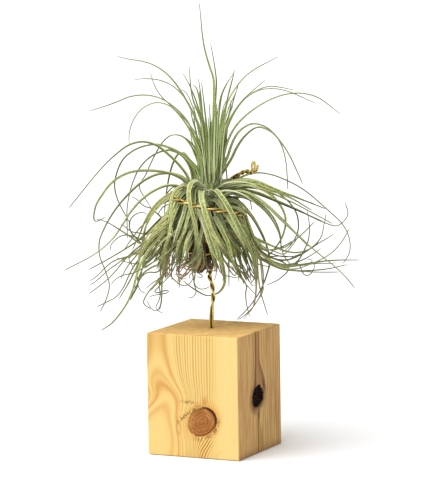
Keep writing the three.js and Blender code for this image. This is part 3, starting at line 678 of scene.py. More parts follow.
_, wire_length = even_line(wire_points, 2)
wire_rings = round(wire_length / RING_STEP)
wire_line, _ = even_line(wire_points, wire_rings + 1)
wire_along, wire_sides = carried_sides(wire_line, (0, 1, 0))
wire_form, wire_ring, wire_angle = blank_tubes(1, WIRE_SIDES, wire_rings)
wire_angle = wire_angle[:, None]
wire_rises = np.cross(wire_along, wire_sides)
closed = np.isin(wire_ring, (0, wire_rings))[:, None]
outward = wire_sides[wire_ring] * np.cos(wire_angle) + wire_rises[wire_ring] * np.sin(wire_angle)
wire_skin = wire_line[wire_ring] + outward * np.where(closed, 0, WIRE_DIAMETER / 2)
draw_out(wire_form, wire_skin)
# How far each point of the skin stands from the core, to place the painted shade in the grooves.
crests = []
for batch in np.array_split(wire_skin, CREST_BATCHES):
    gaps = np.linalg.norm(batch[:, None] - core[None], axis=2)
    crests.append(gaps.min(axis=1) / (STRAND_OFFSET + WIRE_DIAMETER / 2))

brass, brass_surface, brass_place = new_finish("drawn_brass", Metallic=1)
crest = brass_place.node("Attribute", {}, output="Fac", attribute_name="crest")
dull = brass_place.noise(0.22, detail=3).step(0.42, 0.7)
drawn_and_glints = brass_place.noise(2.5, detail=3)
# Streaks along the drawn wire: painted highlights in the colour, drawn marks in the roughness and bump.
shine = drawn_and_glints.step(0.35, 0.65).blend(BRASS_GLINT, BRASS_DEEP)
shine = (dull * 0.4).blend(shine, BRASS_DULL)
brass_facing = Shade(brass.node_tree.nodes.new("ShaderNodeNewGeometry").outputs["Normal"]).parts()
# Painted shade on the faces turned down.
shine = ((brass_facing[2] * -1).step(0, 0.9) * 0.75).blend(shine, BRASS_UNDER_SHADE)
# Painted shade in the grooves between the strands, where the crest is low.
feed(brass_surface, "Base Color", crest.step(0.42, 0.85).blend(BRASS_GROOVE_SHADE, shine))
feed(brass_surface, "Roughness", 0.26 + dull * 0.22 + drawn_and_glints * 0.08)
raise_surface(brass_surface, drawn_and_glints, 0.02)
twisted_wire = add_piece("twisted_wire", wire_form, brass)
crest_layer = twisted_wire.data.attributes.new("crest", "FLOAT", "POINT")
crest_layer.data.foreach_set("value", np.concatenate(crests).astype(np.float32))
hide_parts("holder_wire")

# Stem
# The plant's short woody stem, brown and fibrous, wrapped in the feet of its leaves. It shows only as
# a dark stump between the hanging leaves.
STEM_FOOT = (-7, 89)
STEM_TOP = (-1.7, 134)
STEM_RADII = [
    (89, 1.6), (92, 4.2), (96, 5.6), (102, 6.2), (112, 6.4), (121, 6.0), (127, 5.2), (131, 3.9), (134, 2.0),
]
STEM_CUTS = 3
STEM_RIDGES, STEM_FOLDS = 11, 5
RIDGE_HEIGHT = 0.22
RIDGE_LEAN = 0.6
BARK_DARK, BARK_PALE, BARK_STAIN = (0.045, 0.027, 0.012), (0.21, 0.14, 0.065), (0.025, 0.014, 0.007)


def stem_centre(height):
    """The middle of the leaning stem at that height."""
    share = (height - STEM_FOOT[1]) / (STEM_TOP[1] - STEM_FOOT[1])
    return right * (STEM_FOOT[0] + (STEM_TOP[0] - STEM_FOOT[0]) * share) + upright * height


def stem_radius(height):
    """The stem's radius at that height."""
    return float(np.interp(height, *zip(*STEM_RADII)))


stem_form = copy_of("plant_stem")
bmesh.ops.subdivide_edges(stem_form, edges=stem_form.edges, cuts=STEM_CUTS, use_grid_fill=True)
for vert in stem_form.verts:
    high = vert.co.z / MM
    out = (vert.co - stem_centre(high) * MM) * Vector((1, 1, 0))
    if out.length > MM:
        heading = math.atan2(out.y, out.x)
        ridges = math.sin(heading * STEM_RIDGES + high * RIDGE_LEAN) + math.sin(heading * STEM_FOLDS + 2)
        vert.co += out.normalized() * ridges * RIDGE_HEIGHT * MM
bark, bark_surface, bark_place = new_finish("dry_sheath", Roughness=0.9, Specular_IOR_Level=0.1)
strips = bark_place.noise(1.2, detail=4, stretch=(1, 1, 0.12))
bark_tone = strips.step(0.35, 0.7).blend(BARK_DARK, BARK_PALE)
bark_tone = (bark_place.noise(0.3).step(0.5, 0.7) * 0.6).blend(bark_tone, BARK_STAIN)
feed(bark_surface, "Base Color", bark_tone)
raise_surface(bark_surface, strips, 0.5)
stem = add_piece("stem", stem_form, bark)
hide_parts("plant_stem")

# Leaves
# Each grows from the stem as a wide pale foot, narrows to a channelled strip and runs out to a thread.
# Close silvery scales cover both faces, so the green shows mostly in the channel and near the heart.
LEAF_SIDES, LEAF_RINGS = 10, 72
THIN_SIDES, THIN_RINGS = 8, 44
TIP_WIDTH = 0.34
OLD_TAPER, YOUNG_TAPER = 0.8, 1.1
OLD_FLARE, YOUNG_FLARE = 0.45, 0.15
FLARE_LENGTH = 7
CHANNEL_WIDTHS = (0.7, 2.2)
CHANNEL_DEPTH, CHANNEL_LEVEL = 0.34, 0.35
THREAD_THICK = 0.92
LEAF_THICK, THICK_SHARE = 0.42, 0.13
MARKS = ("from_foot", "wide", "across", "face", "tone", "dryness_and_rim_light", "youth_and_shade")
KEEL_SHARE = 0.22
ROOT_DEPTH = 1.6
CAD_TAPER, CAD_TIP_WIDTH = 1.15, 0.5
CAD_TWIST = 0.7
TUFT_YOUTH = 0.45
TUFT_MIDDLE = right * 1.2
TUFT_RADIUS = 3.5
TUFT_SHIFT = 3
TUFT_FOOT = 138
TUFT_TOPS = {"tuft": 170, "arching": 152}
ARCH_EDGE, ARCH_FADE = 12, 4
FAR_SIDE, FAR_SHARE = -18, 0.7
UPRIGHT_REACH = 0.3
OLD_GREEN, YOUNG_GREEN = (0.10, 0.135, 0.018), (0.07, 0.155, 0.012)
OLD_DULL, OLD_BRIGHT = (0.42, 0.465, 0.105), (0.62, 0.64, 0.19)
YOUNG_DULL, YOUNG_BRIGHT = (0.24, 0.34, 0.055), (0.62, 0.74, 0.22)
SCALES_DULL, SCALES_BRIGHT, SCALES_YOUNG = (0.86, 0.88, 0.43), (0.98, 0.98, 0.60), (0.80, 0.90, 0.46)
# Painted light: the shades darken undersides, and the deep shade stands for shadow between leaves.
OLD_SHADE, YOUNG_SHADE = (0.085, 0.10, 0.024), (0.12, 0.21, 0.03)
FOOT_GREY, TIP_GREEN = (0.56, 0.60, 0.39), (0.145, 0.17, 0.06)
OLD_THREAD, YOUNG_THREAD = (0.075, 0.09, 0.032), (0.17, 0.235, 0.065)
# The rim highlight tone is a painted highlight.
RIM_HIGHLIGHT_TONE, DEEP_SHADE = (0.95, 0.98, 0.66), (0.03, 0.038, 0.008)
STRAW_PALE, STRAW_BROWN = (0.50, 0.345, 0.19), (0.21, 0.125, 0.06)
# The husk tones: dead leaf, darkened further as painted shade deep in the plant.
HUSK_AND_SHADE_PALE, HUSK_AND_SHADE_DARK = (0.12, 0.078, 0.036), (0.025, 0.015, 0.007)


def leaf_sections(line, rises, width, twist, youth_and_shade):
    """The side, rise, width and length from the foot of a leaf at each ring."""
    along = np.gradient(line, axis=0)
    along /= np.linalg.norm(along, axis=1)[:, None]
    rises = rises - along * np.sum(rises * along, axis=1)[:, None]
    rises /= np.linalg.norm(rises, axis=1)[:, None]
    sides = np.cross(rises, along)
    share = np.linspace(0, 1, len(line))
    turn = (twist * share ** 2)[:, None]
    turned = sides * np.cos(turn) + rises * np.sin(turn)
    rises = rises * np.cos(turn) - sides * np.sin(turn)
    length = np.concatenate([[0], np.cumsum(np.linalg.norm(np.diff(line, axis=0), axis=1))])
    taper = YOUNG_TAPER if youth_and_shade > 0 else OLD_TAPER
    flare = YOUNG_FLARE if youth_and_shade > 0 else OLD_FLARE
    widths = (width - TIP_WIDTH) * (1 - share) ** taper + TIP_WIDTH
    widths *= 1 + flare * np.exp(-length / FLARE_LENGTH)
    return turned, rises, widths, length


def grow_leaves(name, leaves, sides=THIN_SIDES, rings=THIN_RINGS):
    """One piece of these leaves: each a line, rises, width, twist, tone, dryness and youth; below 0 these two
    paint a rim highlight and shade.
    """
    form, ring, angle = blank_tubes(len(leaves), sides, rings)
    across, face = np.cos(angle), np.sin(angle)
    points, marks = [], []
    for line, rises, width, twist, *own in leaves:
        side, rise, widths, length = leaf_sections(line, rises, width, twist, own[-1])
        wide = np.where((ring == 0) | (ring == rings), 0, widths[ring])
        channel = np.interp(wide, CHANNEL_WIDTHS, (0, CHANNEL_DEPTH))
        thick = np.minimum(wide * THREAD_THICK, LEAF_THICK + THICK_SHARE * wide)
        height = channel * wide * (across ** 2 - CHANNEL_LEVEL) + 0.5 * thick * face
        middle = line[ring] + side[ring] * (0.5 * wide * across)[:, None]
        points.append(middle + rise[ring] * height[:, None])
        own = [np.full(len(ring), number) for number in own]
        marks.append(np.stack([length[ring], widths[ring], across, face, *own], axis=1))
    draw_out(form, np.concatenate(points))
    piece = add_piece(name, form, silver)
    for mark, column in zip(MARKS, np.concatenate(marks).T):
        layer = piece.data.attributes.new(mark, "FLOAT", "POINT")
        layer.data.foreach_set("value", column.astype(np.float32))
    return piece


def cad_leaf(node):
    """The middle line, rises and full width of a CAD leaf, from the stem to its tip."""
    form = copy_of(node)
    poles = [v for v in form.verts if len(v.link_edges) == 4]
    tip = max(poles, key=lambda v: min(e.calc_length() for e in v.link_edges))
    foot = [v for v in poles if v is not tip][0]
    rows, seen, layer = [], {foot}, [foot]
    while layer:
        rows.append([v.co.copy() / MM for v in layer])
        layer = list({e.other_vert(v) for v in layer for e in v.link_edges} - seen)
        seen.update(layer)
    form.free()
    middles, rises, widths = [], [], []
    for row in rows[1:-1]:
        pairs = [(a, b) for i, a in enumerate(row) for b in row[i + 1:]]
        rim, other_rim = max(pairs, key=lambda pair: (pair[0] - pair[1]).length)
        between = (rim + other_rim) / 2
        keel = max((p for p in row if p not in (rim, other_rim)), key=lambda p: (p - between).length)
        rise = (between - keel).normalized()
        width = (rim - other_rim).length
        middles.append(between - rise * width * KEEL_SHARE)
        rises.append(rise)
        widths.append(width)
    middles.append(rows[-1][0])
    rises.append(rises[-1])
    return middles, rises, widths


def face_front(rises, carried, front, share=1):
    """The rises of a leaf, turned round it by that share until its face looks to the front."""
    turn = (np.unwrap(np.arctan2(carried @ front, rises @ front)) * share)[:, None]
    return rises * np.cos(turn) + carried * np.sin(turn)


# The scales' pattern. A dryness of 1 is straw and 1.5 husk; below 0 it paints a highlight on a rim instead.
# A youth of 1 is the fresh green of the heart; below 0 it paints the shade deep between the leaves instead.
silver, silver_surface, leaf_place = new_finish(
    "silver_scaled_leaf", Specular_IOR_Level=0.12, Sheen_Weight=0.06, Sheen_Roughness=0.5)
from_foot, wide, across, face, tone, dryness_and_rim_light, youth_and_shade = [
    leaf_place.node("Attribute", {}, output="Fac", attribute_name=mark) for mark in MARKS]
scales = leaf_place.noise(3.2, detail=4)
veins = (across * 11 + scales * 2.5 + tone * 6).to("SINE") * 0.5 + 0.5
edge = (across * across).step(0.3, 0.95)
frosting = leaf_place.noise(1.1, detail=3).step(0.4, 0.65)
centre = 1 - (across * across).step(0.05, 0.6)
channel = face.step(-0.1, 0.5).to("MAXIMUM", youth_and_shade * 0.8) * centre
under = face.fall(-0.75, 0.1)
green = youth_and_shade.blend(OLD_GREEN, YOUNG_GREEN)
middle = tone.blend(OLD_DULL, OLD_BRIGHT)
middle = youth_and_shade.blend(middle, tone.blend(YOUNG_DULL, YOUNG_BRIGHT))
margin = tone.blend(SCALES_DULL, SCALES_BRIGHT)
margin = (youth_and_shade * 0.8).blend(margin, SCALES_YOUNG)
skin_tone = (edge * 0.75 + scales.step(0.45, 0.7) * 0.3).blend(middle, margin)
bare = channel * (0.8 - tone * 0.3 - frosting * 0.3) + veins * 0.42 - 0.08
skin_tone = bare.blend(skin_tone, green)
skin_tone = (frosting * 0.3 * (1 - youth_and_shade * 0.6)).blend(skin_tone, margin)
skin_tone = (scales.fall(0.38, 0.55) * 0.3).blend(skin_tone, green)
# Undersides painted darker, as shade.
shaded = youth_and_shade.blend(OLD_SHADE, YOUNG_SHADE)
skin_tone = (under * (0.78 - youth_and_shade * 0.4)).blend(skin_tone, shaded)
foot_pale = from_foot.fall(4, 24) * (1 - youth_and_shade * 0.75) * (1 - under * 0.6)
skin_tone = (foot_pale * 0.6).blend(skin_tone, FOOT_GREY)
far = from_foot.step(16, 62) * (0.8 - tone * 0.35) * (1 - youth_and_shade * 0.7)
skin_tone = far.blend(skin_tone, TIP_GREEN)
thread = youth_and_shade.blend(OLD_THREAD, YOUNG_THREAD)
skin_tone = (wide.fall(0.4, 1.5) * 0.85).blend(skin_tone, thread)
# A dryness below 0 paints a highlight caught on a rim.
painted_highlight = (dryness_and_rim_light * -1).to("MAXIMUM", 0)
skin_tone = painted_highlight.blend(skin_tone, RIM_HIGHLIGHT_TONE)
# A youth below 0 paints the deep shade between leaves.
painted_shade = (youth_and_shade * -1).to("MAXIMUM", 0)
skin_tone = painted_shade.blend(skin_tone, DEEP_SHADE)
dry_tip = wide.fall(0.35, 0.7) * (1 - youth_and_shade) * tone * 0.3
withered = (dryness_and_rim_light.to("MAXIMUM", 0) + dry_tip).to("MINIMUM", 1)
straw = scales.step(0.3, 0.7).blend(STRAW_PALE, STRAW_BROWN)
# Husk: dead leaf, dark brown and partly painted shade.
husk_and_shade = scales.step(0.3, 0.7).blend(HUSK_AND_SHADE_PALE, HUSK_AND_SHADE_DARK)
skin_tone = withered.blend(skin_tone, dryness_and_rim_light.step(1, 1.5).blend(straw, husk_and_shade))
feed(silver_surface, "Base Color", skin_tone)
feed(silver_surface, "Roughness", 0.62 + scales * 0.25)
raise_surface(silver_surface, scales * 0.7 + veins * 0.3, 0.05)

# The blades of the CAD's leaves. Those of the tuft are drawn together at their feet, and upright ones
# turn their faces to the front.
leaf_random = random.Random(7)
front = np.array(towards)
for node in sorted(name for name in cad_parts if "_leaf_" in name):
    middles, rises, widths = cad_leaf(node)
    root = middles[0] + (stem_centre(middles[0].z) - middles[0]).normalized() * ROOT_DEPTH
    middles = [root, *middles]
    rises = [rises[0], *rises]
    line, _ = even_line(middles, LEAF_RINGS + 1)
    spots = np.concatenate([[0], np.cumsum([(b - a).length for a, b in zip(middles, middles[1:])])])
    at = np.linspace(0, spots[-1], LEAF_RINGS + 1)
    rises = np.stack([np.interp(at, spots, part) for part in zip(*rises)], axis=1)
    third = len(widths) // 3
    taper = (1 - third / len(widths)) ** CAD_TAPER
    full_width = (widths[third] - CAD_TIP_WIDTH) / taper + CAD_TIP_WIDTH
    kind = node.split("_")[0]
    if kind in TUFT_TOPS:
        top = TUFT_TOPS[kind]
        inward = np.array(TUFT_MIDDLE)[:2] - line[:, :2]
        distance = np.linalg.norm(inward, axis=1)
        pull = np.clip((top - line[:, 2]) / (top - TUFT_FOOT), 0, 1)
        pull *= np.clip(distance - TUFT_RADIUS, 0, TUFT_SHIFT)
        if kind == "arching":
            pull *= np.clip((ARCH_EDGE - distance) / ARCH_FADE, 0, 1)
        line[:, :2] += inward * (pull / distance)[:, None]
    if np.mean(line @ front) < FAR_SIDE:
        full_width *= FAR_SHARE
    reach = np.linalg.norm(line[-1, :2] - line[0, :2])
    if reach < UPRIGHT_REACH * (line[-1, 2] - line[0, 2]):
        along, carried = carried_sides(line, right)
        rises = face_front(np.cross(along, carried), carried, front)
    twist, tint = leaf_random.uniform(-CAD_TWIST, CAD_TWIST), leaf_random.random()
    leaf = (line, rises, full_width, twist, tint, 0, TUFT_YOUTH * (kind == "tuft"))
    blade = grow_leaves(node.replace("leaf", "blade"), [leaf], LEAF_SIDES, LEAF_RINGS)
    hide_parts(node)

# Leaves over the front of the wire
# The inner leaves of the skirt. Their broad feet bend over at the heart, lie on the wire, and hang down
# in front of the stem. Between them stand leaves painted dark as shade, and thin strips painted as highlights
# on rims.
BOX_LIMITS = ((-71, 83), (-53.6, 58.4))
BOX_STEP = 0.92
ROOT_SHARE = 0.55
ROOT_SIDE = 0.3
LEAF_TWIST = 0.6
FACING, FACING_LENGTH = 0.8, 0.4
LOOK_OUT, LOOK_UP = 0.4, 0.3
SKIRT_WIDEN = 1.3
SKIRT_FELLOWS = 2
FELLOW_APART, FELLOW_DROP, FELLOW_START = (-3.2, 3.2), (-3, 2), 0.2
FELLOW_LOWER, FELLOW_BEHIND, FELLOW_WIDTH = (0.5, 2), (3, 8), (0.75, 0.95)
FELLOW_DRYNESS, FELLOW_SHADE = (0, 0, 0.1), (0, 0.7)
STUMP_SIDES = (-11, 3.5)
STUMP_TOP = 104
HOLLOW_SHADE = -0.85
RIM_HIGHLIGHT = -0.6
# A row is the height of the leaf's root, how far its tip stands in front of the stem, its width, and its
# course: the places where it is seen, so far across and so high.
SKIRT_LEAVES = [
    (131, 14, 2.6, [(-3.4, 130.7), (-5.5, 133.3), (-7.6, 134.1), (-9.4, 133.3), (-10.7, 131.2), (-11, 128.2),
     (-10.7, 124.6), (-10.1, 121.1), (-9.4, 117.5), (-8.6, 113.9), (-8, 110.4), (-7.6, 106.8), (-7.6, 103.2),
     (-8, 100.4), (-9.1, 97.5)]),
    (130, 12, 2.6, [(-3, 130), (-5.3, 131.8), (-7.5, 131.1), (-8.5, 128.6), (-8.6, 125.7), (-8.5, 122.5),
     (-8.4, 118.9), (-9.1, 115.4), (-10.1, 111.8), (-11.2, 108.2)]),
    (129, 24, 3.1, [(-3, 128.5), (-4.1, 127.1), (-4.1, 124.3), (-3.2, 120.7), (-1.9, 116.8), (-0.7, 112.9),
     (0.8, 109.3), (2.4, 106.4), (4.1, 103.6), (6.3, 100.7), (8.2, 97.7)]),
    (126, 22, 2.4, [(-7.6, 122.1), (-6.2, 120.4), (-5.3, 117.5), (-4.2, 114.3), (-3.2, 111.1), (-2.3, 107.9),
     (-1.4, 104.6), (-0.1, 100.4), (0.9, 96.4), (1.6, 92.5)]),
    (128, 22, 2.9, [(-1.2, 128.2), (-0.1, 129.2), (1.8, 128.6), (4, 125.7), (6.3, 122.1), (8.4, 118.2),
     (10.2, 114.6), (12, 111.1), (13.8, 107.5), (15.6, 104.3), (17, 101.1), (18.2, 97.5)]),
    (126, 19, 2.8, [(-1.9, 123.2), (-1, 124.5), (0.6, 125.3), (2.7, 124.5), (4.7, 122.3), (6.8, 118.9),
     (9, 115.5), (10.9, 112.1), (12.9, 108.8), (14.9, 105.5), (16.6, 102.5)]),
    (122, 12, 2.3, [(1.3, 119.6), (3.1, 118.6), (4.7, 115.9), (6, 112.9), (7.4, 110.2), (9, 107.3),
     (10.6, 104.6), (12.4, 102.1), (14.5, 99.6)]),
    (122, 5, 2.2, [(5.2, 119.6), (7.2, 117.9), (9.5, 113.9), (11.6, 109.6), (13.8, 105.4), (15.8, 101.4),
     (17.7, 97.5)]),
    (119, 9, 2.1, [(1.3, 116.1), (2.5, 114.3), (3.6, 111.8), (5.4, 109.3), (7.4, 106.8), (9.1, 103.6),
     (10.6, 100.2), (12, 96.4)]),
    (121, 2, 2.4, [(11.6, 122.5), (14.1, 121.1), (15.8, 118.2), (16.8, 114.6), (17.7, 111.1), (18.8, 107.3),
     (20.4, 103.4), (22.2, 99.6), (24, 95.7)]),
    (129, 4, 2.5, [(7.4, 123.9), (10.2, 124.6), (13.1, 123.9), (15, 121.8), (16.3, 118.9), (17.2, 115.7),
     (17.9, 112.1)]),
    (131, 12, 2.3, [(-10.5, 131.8), (-13.5, 130.9), (-16.1, 128.3), (-18.2, 124.6), (-19.4, 120.9),
     (-20.3, 116.7), (-20.9, 112.1), (-21.6, 107.5), (-22.5, 103.2), (-23.2, 99.6), (-23.4, 96.1),
     (-23.5, 92.5)]),
    (128, 15, 2.3, [(-10.5, 128.2), (-13.5, 126.6), (-15.8, 123.4), (-17.3, 120.3), (-18.7, 116.7),
     (-19.8, 112.8), (-20.6, 108.6), (-21.9, 103.9), (-23.4, 100.2), (-25.1, 96.1), (-27.3, 91.8)]),
    (125, 8, 2, [(-10.3, 121.1), (-12.6, 121.5), (-14.8, 120.3), (-16.6, 117.4), (-18.3, 113.9),
     (-19.5, 110.4), (-20.5, 106.8), (-21.4, 103.2), (-21.9, 99.6), (-22.1, 95.7)]),
    (123, 13, 2, [(-10, 119.5), (-12.2, 117.5), (-14, 115.2), (-15.5, 112.3), (-16.9, 109.2), (-18, 106.2),
     (-18.9, 103.2), (-19.8, 99.6), (-20.1, 96.1)]),
    (121, 16, 2, [(-9.1, 117.9), (-10.4, 114.9), (-11.9, 112.1), (-13.4, 109.2), (-14.8, 106.4),
     (-16.1, 103.4), (-17.1, 100), (-18, 96.4), (-18.5, 92.5)]),
    (119, 18, 2, [(-8.5, 115.7), (-9.4, 112.1), (-10.2, 109.1), (-11.6, 106), (-12.6, 103), (-13.4, 99.6),
     (-14.2, 96.1), (-15.5, 92.5)]),
    (117, 14, 1.9, [(-7.6, 113.9), (-8.8, 110.2), (-10.4, 106), (-11.6, 102.4), (-12.2, 98.9), (-12.5, 95.4),
     (-13.4, 91.8)]),
    (125, -2, 2, [(-15.5, 123.9), (-18.7, 122.3), (-21.1, 119.6), (-23.4, 116.7), (-25.5, 113.1),
     (-27.6, 109.6), (-29.4, 106.4), (-31.2, 103.4)]),
    (123, 4, 2, [(-15.1, 121.8), (-18.5, 119.6), (-20.9, 116.7), (-23, 113.9), (-25.1, 110.6), (-27.3, 107.4),
     (-29.1, 104.5), (-31, 101.4)]),
    (121, -6, 1.9, [(-15.5, 118.2), (-18.9, 115.9), (-21.2, 112.8), (-23.4, 110.2), (-25.5, 107.7),
     (-27.6, 105.2), (-29.8, 102.3), (-31.9, 99.6)]),
    (119, 8, 1.9, [(-16.2, 114.3), (-19.6, 111.7), (-21.6, 108.6), (-23.7, 105.6), (-26.2, 102.8),
     (-28.4, 99.9), (-30.5, 97.4), (-32.3, 95)]),
    (117, 0, 1.8, [(-16.2, 110.4), (-20.1, 108), (-22.2, 104.9), (-24.4, 102.1), (-26.9, 99.2), (-29.1, 96.4),
     (-31.2, 94.2)]),
    (118, 15, 1.9, [(-5.5, 116.8), (-4.7, 115.2), (-4.1, 112.1), (-4.7, 108.6), (-5.4, 105.3), (-5.9, 101.8),
     (-5.5, 98.4), (-5, 95)]),
    (116, 12, 1.9, [(-7.3, 113.9), (-7.1, 111.1), (-6.5, 108.1), (-5.8, 104.9), (-4.8, 101.4), (-4.1, 97.9),
     (-3.9, 94.3), (-4.1, 91.1)]),
    (115, 9, 1.6, [(-4.1, 112.1), (-3.5, 110.2), (-4.1, 107.4), (-4.7, 104.6), (-4.4, 101.6), (-3.4, 98.2)]),
    (116, 17, 1.9, [(-0.1, 106.8), (0.5, 103.6), (0.6, 100), (1.1, 96.1), (1.8, 92.5), (2, 88.6)]),
    (118, 19, 2, [(0.2, 106.8), (1.6, 103.2), (3.4, 98.9), (5.4, 95), (6.5, 91.4), (6.6, 87.5), (6.6, 83.9)]),
    (114, 13, 1.6, [(2.7, 103.9), (5.2, 100), (8.1, 96.1), (10.9, 93.2), (13.8, 90.6), (16.6, 87.8),
     (18.8, 84.6)]),
    (114, 15, 1.6, [(5.9, 102.5), (8.8, 98), (11.3, 94.3), (13.8, 90.6), (16.1, 87.7), (17.7, 84.6)]),
    (117, 9, 1.7, [(8.8, 106.8), (11.6, 100.5), (13.1, 96.4), (14.9, 92.8), (17, 88.9), (18.4, 85.4)]),
    (118, 6, 1.7, [(10.9, 106.8), (14.1, 100.4), (16.4, 95.7), (17.8, 92.4), (19.2, 89.2), (21.3, 85.7)]),
    (118, 3, 1.7, [(13.1, 107.5), (16.6, 101.4), (18.9, 96.1), (20.3, 92.4), (21.5, 88.9), (22, 84.6)]),
    (131, 8, 2.6, [(-3, 130), (-6, 132), (-9, 132.8), (-12, 132.5), (-15, 131.2), (-17.6, 128.5),
     (-19.6, 124.5), (-20.9, 120), (-21.8, 114.5), (-22.4, 109), (-23, 103.5)]),
    (130, 11, 2.5, [(-3, 129.5), (-6, 130.8), (-9, 131), (-12, 130), (-14.5, 128), (-16.5, 125), (-18, 121),
     (-19.1, 116.5), (-20, 111.5), (-20.8, 106.5), (-21.4, 101)]),
    (129, 14, 2.4, [(-3, 129), (-5.5, 129.3), (-8, 128.5), (-10.2, 126.5), (-11.9, 123.5), (-13.2, 119.5),
     (-14.4, 115), (-15.8, 110.5), (-17.2, 106), (-18.5, 101)]),
    (128, 16, 2.3, [(-3.5, 128.5), (-5.5, 128), (-7.5, 126.3), (-9, 123.5), (-10.4, 119.5), (-11.8, 115),
     (-13.2, 110.5), (-14.8, 105.5), (-16.2, 100.5)]),
    (117, 20, 2, [(-1.2, 107.5), (0.4, 102.6), (1.9, 97.8), (3.9, 94.6), (5.8, 92), (6.4, 88), (6.5, 84.5)]),
    (128, 13, 3, [(-3.4, 129), (-5.2, 129.8), (-6.6, 128.4), (-7.2, 125.4), (-7.7, 121.5), (-8, 118),
     (-7.8, 114), (-7.3, 110), (-7.1, 106), (-7.2, 102), (-7.6, 98.5)]),
]
# Strips painted dark as the shade in the skirt's hollows.
SHADE_STRIPS = [
    (127, 13, 1.3, [(-2.8, 127.4), (-1.2, 126.8), (0.6, 126.4), (2.4, 126.3), (3.8, 125.4)]),
    (130, 13, 1.6, [(-5.4, 131.8), (-7, 132.2), (-8.2, 130.8), (-8.6, 128.2), (-8.6, 125.4)]),
    (126, 7, 2.8, [(5.4, 127.4), (8, 126.7), (10.5, 126.3), (13, 125.6), (15, 124)]),
    (117, 9, 2.2, [(1.6, 118), (2.8, 116), (3.8, 113.6), (4.9, 111), (6.2, 108)]),
    (116, 12, 1.6, [(4.6, 110), (5.8, 107.4), (7.2, 104.8), (8.6, 102)]),
    (116, 9, 1.8, [(-9.6, 113), (-10, 109.6), (-10.2, 106), (-10.4, 102)]),
    (114, 4, 3.4, [(2.5, 109.4), (4.3, 107), (6.2, 104), (8.4, 100.6), (10, 98)]),
    (114, 2, 3, [(9.5, 106), (12, 103), (14.2, 99.8), (16.2, 96.4)]),
]
# Thin strips painted pale as highlights caught on the rims of leaves.
RIM_HIGHLIGHT_STRIPS = [
    (126, 23, 0.9, [(-6.6, 121.4), (-5.6, 118.6), (-4.8, 115.6), (-3.9, 112.4), (-3, 109.4), (-2, 106)]),
    (127, 25, 0.9, [(-5.4, 127.4), (-5.5, 124.6), (-4.7, 121.4), (-3.7, 118.2)]),
    (128, 24, 1, [(3.2, 128.6), (5, 126.2), (7, 122.6), (9, 118.6), (11, 114.8), (13, 110.8), (15, 106.6)]),
    (122, 17, 1, [(2.4, 117), (4.4, 113.6), (6, 110.4), (7.6, 107.4), (9.4, 104)]),
    (131, 20, 0.9, [(-10, 131.4), (-10.6, 128.8), (-10.5, 125), (-9.9, 121), (-9.2, 117)]),
    (122, 18, 1, [(-13.5, 119), (-15.2, 115.6), (-16.6, 111.6), (-17.8, 107.6), (-18.8, 103.6)]),
    (131, 13, 1.1, [(3.6, 131.6), (6.4, 133.2), (10, 134), (14, 134.2), (18.6, 133.6), (23, 132.2)]),
    (129, 16, 1.1, [(4.4, 129.4), (7.6, 129.8), (11.4, 129.4), (15.4, 128), (19.4, 125.6), (23, 122.4)]),
    (130, 14, 1, [(-4.4, 132.6), (-6.6, 134.2), (-8.8, 133.8), (-10.2, 131.6), (-10.8, 128)]),
    (127, 9, 1, [(-11, 130.6), (-14, 129.8), (-16.6, 127.2), (-18.4, 123.4), (-19.6, 118.8), (-20.4, 113.6)]),
]


def inside_box(across, height, near):
    """The point seen there, brought back towards the stem until it lies inside the plant's spread."""
    point = seen_at(across, height, near)
    while not all(low < point[axis] < high for axis, (low, high) in enumerate(BOX_LIMITS)):
        near *= BOX_STEP
        point = seen_at(across, height, near)
    return point


def rooted_leaf(rng, height, depth, width, course, dryness_and_rim_light=0, youth_and_shade=0):
    """The leaf of a row, from the stem along its course."""
    axis = stem_centre(height)
    outward = (right * (course[0][0] - right.dot(axis)) + towards * depth * ROOT_SIDE).normalized()
    root = axis + outward * stem_radius(height) * ROOT_SHARE
    flat = [root - towards * towards.dot(root), *(seen_at(*place) for place in course)]
    spans = np.cumsum([0] + [(b - a).length for a, b in zip(flat, flat[1:])])
    start = towards.dot(root)
    points = [root]
    for (across, high), share in zip(course, spans[1:] / spans[-1]):
        points.append(inside_box(across, high, start + (depth - start) * (1 - (1 - share) ** 2)))
    line, _ = even_line(points, THIN_RINGS + 1)
    along, carried = carried_sides(line, upright.cross(outward))
    turned = FACING * np.clip(np.linspace(0, 1 / FACING_LENGTH, len(line)), 0, 1)
    looks_to = np.array(towards + outward * LOOK_OUT + upright * LOOK_UP)
    rises = face_front(np.cross(along, carried), carried, looks_to, turned)
    return line, rises, width, rng.uniform(-LEAF_TWIST, LEAF_TWIST), rng.random(), dryness_and_rim_light, youth_and_shade


def beside(rng, height, depth, width, course):
    """The row of a like leaf a little further in, that parts from this one towards its tip."""
    apart, drop = rng.uniform(*FELLOW_APART), rng.uniform(*FELLOW_DROP)
    shares = np.linspace(FELLOW_START, 1, len(course))
    shifted = [(x + apart * s, z + drop * s) for (x, z), s in zip(course, shares)]
    height, depth = height - rng.uniform(*FELLOW_LOWER), depth - rng.uniform(*FELLOW_BEHIND)
    return height, depth, width * rng.uniform(*FELLOW_WIDTH), shifted


def hides_stump(course):
    """Whether a course passes in front of the bare stump."""
    return any(STUMP_SIDES[0] < across < STUMP_SIDES[1] and high < STUMP_TOP for across, high in course)


skirt_random = random.Random(21)
skirt = []
for height, depth, width, course in SKIRT_LEAVES:
    row = (height, depth, width * SKIRT_WIDEN, course)
    skirt.append(rooted_leaf(skirt_random, *row))
    for _ in range(SKIRT_FELLOWS):
        fellow = beside(skirt_random, *row)
        if not hides_stump(fellow[-1]):
            # A fellow further in is painted partly into shade.
            looks = skirt_random.choice(FELLOW_DRYNESS), -skirt_random.uniform(*FELLOW_SHADE)
            skirt.append(rooted_leaf(skirt_random, *fellow, *looks))
